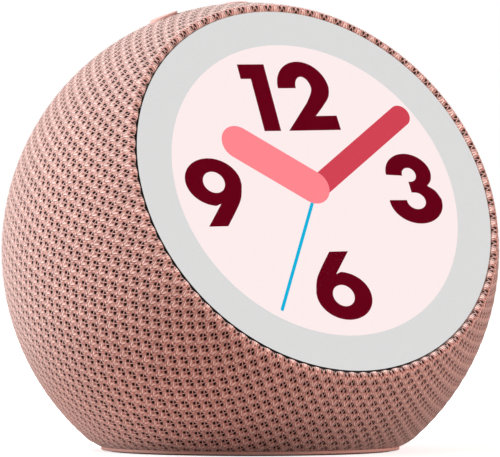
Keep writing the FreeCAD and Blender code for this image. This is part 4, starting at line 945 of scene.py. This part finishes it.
# %% Lit colours
def lit_colour(name, code, grain=0.012):
    """A colour shown by a screen; the grain is the share by which pixels differ."""
    material, tree, output = new_material(name)
    place = node(tree, "TexCoord").outputs["Object"]
    pixels = node(tree, "TexNoise", {"Vector": place, "Scale": 1 / (0.4 * MM), "Detail": 1.0})
    colour = node(tree, "ValToRGB", {"Fac": pixels.outputs["Fac"]},
                  stops=[(0.35, linear(code, 1 - grain)), (0.65, linear(code, 1 + grain))])
    light = node(tree, "Emission", {"Color": colour.outputs["Color"], "Strength": 1.0})
    tree.links.new(light.outputs[0], output.inputs["Surface"])
    return material


dial_light = lit_colour("lit_pale_pink", "#FDEDED", 0.006)
numeral_light = lit_colour("lit_dark_red", "#650217")
hour_light = lit_colour("lit_coral", "#FF8790", 0.008)
minute_light = lit_colour("lit_crimson", "#D24354")
second_light = lit_colour("lit_blue", "#14B4DC")
print("colours of the dial:", dial_light.name, "and", numeral_light.name)

# %% [markdown]
# Each colour area is a thin flat shape just under the front face of the glass, where the
# bonded picture seems to lie, and each next one lies 0.012 mm nearer to the eye. The
# outlines are in millimetres, in straight runs and arcs, as a sign maker cuts them. The
# whole picture is turned by 1.2 degrees, as in the photograph.

# %% Outline helpers
ROLL = math.radians(1.2)
PICTURE_RADIUS = 35.06
PICTURE_PLANE = 31.37 * MM
BORDER_AT, DIAL_AT, NUMERALS_AT, SECOND_AT, MINUTE_AT, HOUR_AT = 0.0, 0.010, 0.022, 0.034, 0.046, 0.058
SHAPE_THICKNESS = 0.008 * MM


def arc(x, y, reach_x, reach_y, start, end):
    """Points of an elliptic arc, in degrees, a step every 3 degrees."""
    count = max(2, int(abs(end - start) / 3) + 1)
    return [(x + reach_x * math.cos(math.radians(angle)), y + reach_y * math.sin(math.radians(angle)))
            for angle in np.linspace(start, end, count)]


def disk(radius):
    """A round outline about the middle of the dial."""
    return arc(0, 0, radius, radius, 0, 358)


def soft_run(points, steps=6):
    """A smooth run through a few points, each span bent by the points beside it."""
    run = []
    padded = [points[0], *points, points[-1]]
    for before, start, end, after in zip(padded, padded[1:], padded[2:], padded[3:]):
        for step in range(steps):
            t = step / steps
            run.append(tuple(0.5 * (2 * b + (c - a) * t + (2 * a - 5 * b + 4 * c - d) * t * t
                                    + (3 * b - a - 3 * c + d) * t ** 3)
                             for a, b, c, d in zip(before, start, end, after)))
    return [*run, points[-1]]


def flat_shape(name, outlines, layer, material):
    """A thin plate on the screen from closed outlines in mm; later outlines are holes."""
    curve = bpy.data.curves.new(name, "CURVE")
    curve.dimensions = "2D"
    curve.fill_mode = "BOTH"
    curve.extrude = SHAPE_THICKNESS / 2
    for outline in outlines:
        spline = curve.splines.new("POLY")
        spline.points.add(len(outline) - 1)
        for point, (x, y) in zip(spline.points, outline):
            turned_x = x * math.cos(ROLL) - y * math.sin(ROLL)
            turned_y = x * math.sin(ROLL) + y * math.cos(ROLL)
            point.co = (turned_x * MM, turned_y * MM, 0, 1)
        spline.use_cyclic_u = True
    shape = bpy.data.objects.new(name, curve)
    scene.collection.objects.link(shape)
    pick(shape)
    bpy.ops.object.convert(target="MESH")
    shape = bpy.context.object
    shape.rotation_euler = (math.radians(90) - LEAN, 0, 0)
    shape.location = CENTRE + FACING * (PICTURE_PLANE + layer * MM)
    return settle(shape, name, "housing", material)


flat_shape("lit_dial", [disk(PICTURE_RADIUS)], DIAL_AT, dial_light)

# %% [markdown]
# The numerals are heavy round ones without serifs. Only their outlines are drawn, with
# the eye of the six as a hole. The nine is the six turned upside down.

# %% Numerals
ONE = [(-9.15, 14.09), (-4.95, 14.09), (-4.95, 30.36), (-11.72, 30.36), (-11.72, 26.81), (-9.15, 26.81)]
TWO = [(-2.91, 14.10), (10.37, 14.17), (10.24, 17.67)]
TWO += soft_run([(4.89, 17.64), (7.16, 19.76), (9.41, 22.24), (10.13, 24.47)])
TWO += arc(3.63, 24.47, 6.5, 6.5, 2, 180) + arc(3.63, 24.47, 1.94, 2.78, 180, 0)
TWO += soft_run([(5.49, 24.0), (4.86, 22.76), (3.47, 20.85)])
THREE = arc(24.65, 3.1, 5.86, 5.05, 180, 8) + soft_run([(30.4, 2.9), (29.9, 1.5), (28.68, 0.24)])
THREE += soft_run([(28.68, 0.24), (30.4, -1.0), (31.3, -2.8)]) + arc(24.67, -3.4, 6.75, 5.48, 6, -176)
THREE += [(17.93, -3.05), (22.40, -3.11)] + arc(24.79, -3.33, 2.39, 2.04, 180, 360)
THREE += arc(24.79, -3.33, 2.39, 2.0, 0, 90) + [(24.13, -1.32), (24.07, 1.32)]
THREE += arc(24.67, 3.0, 1.76, 1.69, -88, 184) + [(22.90, 2.81)]
SIX = [(-1.02, -15.09), (3.76, -15.09), (-0.74, -20.44)] + arc(-0.16, -25.63, 6.93, 5.71, 84, -176)
SIX += soft_run([(-7.06, -24.9), (-6.08, -21.8), (-4.34, -19.17), (-1.02, -15.09)])[:-1]
SIX_EYE = arc(-0.30, -25.58, 2.67, 2.53, 0, 357)


def half_turn(outline):
    """The six turned upside down about its middle, and moved to the nine's place."""
    return [(-0.22 - x - 25.33, -46.40 - y + 22.80) for x, y in outline]


NUMERALS = {"1": [ONE], "2": [TWO], "3": [THREE], "6": [SIX, SIX_EYE],
            "9": [half_turn(SIX), half_turn(SIX_EYE)]}
for numeral, outlines in NUMERALS.items():
    flat_shape("lit_numeral_" + numeral, outlines, NUMERALS_AT, numeral_light)

# %% [markdown]
# The hands are bars with round ends. The short wide one lies over the long one, and both
# over the thin blue one. They show nine minutes past ten.

# %% Hands
def hand(start, end, degrees, radius):
    """A bar with round ends, from and to distances along a direction."""
    along = (math.cos(math.radians(degrees)), math.sin(math.radians(degrees)))
    far = (along[0] * end, along[1] * end)
    near = (along[0] * start, along[1] * start)
    return (arc(*far, radius, radius, degrees - 90, degrees + 90)
            + arc(*near, radius, radius, degrees + 90, degrees + 270))


flat_shape("lit_second_hand", [hand(0.4, 32.9, 239.7, 0.38)], SECOND_AT, second_light)
flat_shape("lit_minute_hand", [hand(1.2, 31.75, 33.3, 2.53)], MINUTE_AT, minute_light)
flat_shape("lit_hour_hand", [hand(0.86, 20.1, 145.6, 4.05)], HOUR_AT, hour_light)

# %% [markdown]
# ### Glass and its printed border
# The cover glass has an anti-reflective coating, so it gives back only a fraction of the
# light at right angles and more at a flat angle. A mix of clear and glossy by that share
# shows the picture unchanged. Only the front face is glossy: the back is bonded, and a
# bonded face has no reflection of its own.

# %% Coated glass and clear bond
SMEAR_MM = 20
glass, tree, output = new_material("coated_cover_glass")
place = node(tree, "TexCoord").outputs["Object"]
smear = node(tree, "TexNoise", {"Vector": place, "Scale": 1 / (SMEAR_MM * MM), "Detail": 3.0})
rough = node(tree, "MapRange", {"Value": smear.outputs["Fac"], 1: 0.3, 2: 0.7, 3: 0.02, 4: 0.06})
share = node(tree, "Fresnel", {"IOR": 1.07})
side = node(tree, "NewGeometry")
front = node(tree, "Math", {0: 1.0, 1: side.outputs["Backfacing"]}, operation="SUBTRACT")
share = node(tree, "Math", {0: share.outputs[0], 1: front.outputs[0]}, operation="MULTIPLY")
clear = node(tree, "BsdfTransparent", {"Color": (1, 1, 1, 1)})
shine = node(tree, "BsdfGlossy", {"Color": (1, 1, 1, 1), "Roughness": rough.outputs[0]})
mixed = node(tree, "MixShader", {0: share.outputs[0], 1: clear.outputs[0], 2: shine.outputs[0]})
tree.links.new(mixed.outputs[0], output.inputs["Surface"])

# The bond under it is a clear gel with hardly any haze.
bond, tree, output = new_material("clear_optical_bond")
place = node(tree, "TexCoord").outputs["Object"]
haze = node(tree, "TexNoise", {"Vector": place, "Scale": 1 / (3 * MM)})
tint = node(tree, "ValToRGB", {"Fac": haze.outputs["Fac"]},
            stops=[(0.3, (1, 1, 1, 1)), (0.7, (0.998, 0.998, 0.998, 1))])
clear = node(tree, "BsdfTransparent", {"Color": tint.outputs["Color"]})
tree.links.new(clear.outputs[0], output.inputs["Surface"])
print("clear materials:", glass.name, "and", bond.name)

# %% [markdown]
# The border is screen-printed grey ink, in one plane with the picture. Besides its dull
# grey it is given a painted glow of its own grey, which keeps it even all over.

# %% Printed border
BORDER_INSIDE = 35
BORDER_OUTSIDE = GLASS_RADIUS / MM - 0.06
ink, tree, output = new_material("grey_screen_printed_ink")
place = node(tree, "TexCoord").outputs["Object"]
grain = node(tree, "TexNoise", {"Vector": place, "Scale": 1 / (0.3 * MM), "Detail": 3.0})
grey = node(tree, "ValToRGB", {"Fac": grain.outputs["Fac"]},
            stops=[(0.3, linear("#DADCDC")), (0.7, linear("#DEE0E0"))])
dull = node(tree, "BsdfDiffuse", {"Color": linear("#6E6E6E")})
# Painted glow: the grey ink emits light, though it is no lamp.
painted_glow = node(tree, "Emission", {"Color": grey.outputs["Color"], "Strength": 0.795})
mixed = node(tree, "AddShader", {0: dull.outputs[0], 1: painted_glow.outputs[0]})
tree.links.new(mixed.outputs[0], output.inputs["Surface"])
border = flat_shape("printed_border", [disk(BORDER_OUTSIDE), disk(BORDER_INSIDE)], BORDER_AT, ink)
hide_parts("border_print")

# %% [markdown]
# ## The hidden pieces
# What the ball hides still gets its real finish: green boards with copper under the
# mask, tinned and zinc-plated steel, ground ferrite, wound copper, pressed paper and
# woven cloth. Metals are drawn with fine lines from rolling or turning.

# %% Metal recipe
def metal(name, code, roughness, line_mm=0.15, stretch=12.0, depth_mm=0.004):
    """A metal with lines of a given width, drawn out by a factor along X."""
    material, tree, output = new_material(name)
    place = node(tree, "TexCoord").outputs["Object"]
    drawn_out = node(tree, "Mapping", {"Vector": place, "Scale": (1, stretch, stretch)})
    lines = node(tree, "TexNoise", {"Vector": drawn_out.outputs[0], "Scale": 1 / (line_mm * stretch * MM),
                                    "Detail": 4.0}).outputs["Fac"]
    colour = node(tree, "ValToRGB", {"Fac": lines},
                  stops=[(0.3, linear(code, 0.86)), (0.7, linear(code, 1.05))])
    rough = node(tree, "MapRange", {"Value": lines, 1: 0.3, 2: 0.7, 3: roughness - 0.08, 4: roughness + 0.08})
    scratches = node(tree, "Bump", {"Height": lines, "Distance": depth_mm * MM, "Strength": 0.5})
    surface = node(tree, "BsdfPrincipled", {"Base Color": colour.outputs["Color"], "Metallic": 1.0,
                                            "Roughness": rough.outputs[0], "Normal": scratches.outputs[0]})
    tree.links.new(surface.outputs[0], output.inputs["Surface"])
    return material


# Zinc is bluish grey and satin, tin brighter, and bare rolled steel duller.
zinc_steel = metal("zinc_plated_steel", "#B4B6B8", 0.34)
tinned_steel = metal("tinned_sheet_steel", "#C9CBCC", 0.30)
tray_steel = metal("pressed_sheet_steel", "#A9ABAF", 0.38)
motor_steel = metal("zinc_plated_motor_steel", "#B1B5B2", 0.40, 0.2, 6.0)
# The saw leaves coarse lines in aluminium, and plating leaves hardly any on brass.
spreader_metal = metal("sawn_aluminium", "#C4C6C8", 0.42, 0.3, 8.0, 0.01)
brass = metal("plated_brass", "#C9A25C", 0.30, 0.1, 2.0)
print("first metal:", zinc_steel.name)

# %% [markdown]
# A circuit board is glass cloth under a glossy green mask, with copper tracks that show
# as lighter lines. A pattern of long bricks stands for the fields between the tracks.

# %% Circuit board
TRACK_MM = 5
board, tree, output = new_material("green_masked_circuit_board")
place = node(tree, "TexCoord").outputs["Object"]
tracks = node(tree, "TexBrick", {"Vector": place, "Scale": 1 / (TRACK_MM * MM), "Mortar Size": 0.04,
                                 "Color1": linear("#0D5A33"), "Color2": linear("#0A4E2C"),
                                 "Mortar": linear("#1E7A48")})
cloud = node(tree, "TexNoise", {"Vector": place, "Scale": 1 / (2 * MM), "Detail": 3.0})
colour = node(tree, "Mix", {"Factor": cloud.outputs["Fac"], 6: tracks.outputs["Color"], 7: linear("#0B5430")},
              data_type="RGBA")
raised = node(tree, "Bump", {"Height": tracks.outputs["Fac"], "Distance": 0.03 * MM, "Strength": 0.6})
surface = node(tree, "BsdfPrincipled", {"Base Color": colour.outputs[2], "Roughness": 0.28,
                                        "Normal": raised.outputs[0], "IOR": 1.5})
tree.links.new(surface.outputs[0], output.inputs["Surface"])
print("board nodes:", len(tree.nodes))

# %% [markdown]
# The voice coil is wound from 0.12 mm enamelled wire. A wave along the loudspeaker's
# axis, one crest to each turn, gives its fine orange rings, with painted shade in dark
# brown between the turns.

# %% Copper winding
WIRE_MM = 0.12
WAVE_FACTOR = 0.314    # at scale 1 the wave texture has a crest every 0.314 units
winding, tree, output = new_material("enamelled_copper_winding")
place = node(tree, "TexCoord").outputs["Object"]
turns = node(tree, "TexWave", {"Vector": place, "Scale": WAVE_FACTOR / (WIRE_MM * MM), "Distortion": 0.1},
             bands_direction="Y").outputs["Fac"]
# Painted shade: dark brown in the gaps between turns; the crowns keep the copper colour.
colour = node(tree, "ValToRGB", {"Fac": turns}, stops=[(0.0, linear("#6E3216")), (1.0, linear("#D07A45"))])
raised = node(tree, "Bump", {"Height": turns, "Distance": 0.05 * MM, "Strength": 0.8})
surface = node(tree, "BsdfPrincipled", {"Base Color": colour.outputs["Color"], "Metallic": 0.9,
                                        "Roughness": 0.32, "Normal": raised.outputs[0]})
tree.links.new(surface.outputs[0], output.inputs["Surface"])
print("wire thickness %.2f mm" % WIRE_MM)

# %% [markdown]
# Paper, cloth, foam, rubber, ferrite and baked paint are all grains or fibres pressed
# together. One recipe makes them, with the size of the grain, the way it is drawn out
# and the depth of its relief.

# %% Pressed, woven and rubber finishes
def fibrous(name, dark, light, size_mm, stretch, depth_mm, roughness):
    """A matt finish of fibres or grains of a given size."""
    material, tree, output = new_material(name)
    place = node(tree, "TexCoord").outputs["Object"]
    laid = node(tree, "Mapping", {"Vector": place, "Scale": stretch}).outputs[0]
    grains = node(tree, "TexNoise", {"Vector": laid, "Scale": 1 / (size_mm * MM), "Detail": 5.0,
                                     "Roughness": 0.65})
    cells = node(tree, "TexVoronoi", {"Vector": laid, "Scale": 1 / (size_mm * 2.5 * MM)})
    both = node(tree, "Math", {0: grains.outputs["Fac"], 1: cells.outputs["Distance"]},
                operation="MULTIPLY").outputs[0]
    colour = node(tree, "ValToRGB", {"Fac": both}, stops=[(0.05, linear(dark)), (0.45, linear(light))])
    raised = node(tree, "Bump", {"Height": both, "Distance": depth_mm * MM, "Strength": 0.7})
    surface = node(tree, "BsdfPrincipled", {"Base Color": colour.outputs["Color"], "Roughness": roughness,
                                            "Normal": raised.outputs[0], "IOR": 1.48})
    tree.links.new(surface.outputs[0], output.inputs["Surface"])
    return material


# Rubbers: a dusty matt foot, and a satin roll round the cone.
foot_rubber = fibrous("brown_silicone_rubber", "#3E2A26", "#54403A", 0.5, (1, 1, 1), 0.03, 0.75)
roll_rubber = fibrous("black_butyl_rubber", "#101011", "#1C1C1E", 0.4, (1, 1, 1), 0.01, 0.5)
# Foams: open cells swallow the light.
foam = fibrous("black_gasket_foam", "#0A0A0B", "#26262A", 0.5, (1, 1, 1), 0.15, 0.95)
tape = fibrous("black_foam_tape", "#0B0B0C", "#1A1A1B", 0.3, (1, 1, 1), 0.05, 0.9)
# Pressed paper and dipped cotton show their fibres in one direction.
cone_paper = fibrous("black_pressed_paper", "#151517", "#2C2C2F", 0.25, (1, 4, 1), 0.05, 0.85)
spider_cloth = fibrous("resin_dipped_cotton", "#8A5A1E", "#D9A657", 0.35, (1, 1, 4), 0.06, 0.7)
# Ferrite keeps the lines of its grinding, and baked paint is a little orange-peeled.
ferrite = fibrous("ground_ferrite", "#2A2A2D", "#3F3F43", 0.3, (6, 1, 1), 0.01, 0.55)
basket_paint = fibrous("black_baked_paint", "#121214", "#1D1D20", 0.6, (1, 1, 1), 0.02, 0.45)
# The dust cap is formed from film, so it is the glossiest of the black pieces.
cap_dome = moulded("black_formed_polypropylene", "#141417", 0.3, 0.5, 0.006)
print("first fibrous finish:", foot_rubber.name)

# %% [markdown]
# Every piece that comes from the model takes its finish from one table. The pieces that
# were replaced above are hidden and need none.

# %% Give every carried-over piece its finish
FINISHES = {
    "front_shell": hidden_abs, "rear_shell": hidden_abs, "shell_screws": zinc_steel, "base_plate": rose_abs,
    "foot_pad": foot_rubber, "base_screws": zinc_steel, "cover_glass": glass, "optical_bond": bond,
    "screen_carrier": black_abs, "glass_adhesive": tape, "carrier_screws": zinc_steel,
    "display_panel": black_abs, "backlight_tray": tray_steel, "main_board": board, "board_screws": zinc_steel,
    "shield_can": tinned_steel, "heat_spreader": spreader_metal, "board_connectors": nylon,
    "volume_down_plunger": switch_pbt, "talk_plunger": switch_pbt, "volume_up_plunger": switch_pbt,
    "button_frame": black_abs, "button_board": board, "button_frame_screws": zinc_steel,
    "switch_bodies": switch_pbt, "microphones": brass, "speaker_basket": basket_paint, "speaker_gasket": foam,
    "speaker_screws": zinc_steel, "top_plate": motor_steel, "speaker_magnet": ferrite,
    "pole_yoke": motor_steel, "voice_coil": winding, "speaker_cone": cone_paper, "dust_cap": cap_dome,
    "surround": roll_rubber, "spider": spider_cloth, "inlet_bush": black_abs, "dc_jack": black_abs,
    "dc_jack_screws": zinc_steel,
}
for name, material in FINISHES.items():
    slots = nodes[name].data.materials
    if not slots:
        slots.append(material)
    for number in range(len(slots)):
        slots[number] = material
left_over = [name for name in nodes if name not in FINISHES and not nodes[name].hide_render]
print("pieces without a finish:", left_over)
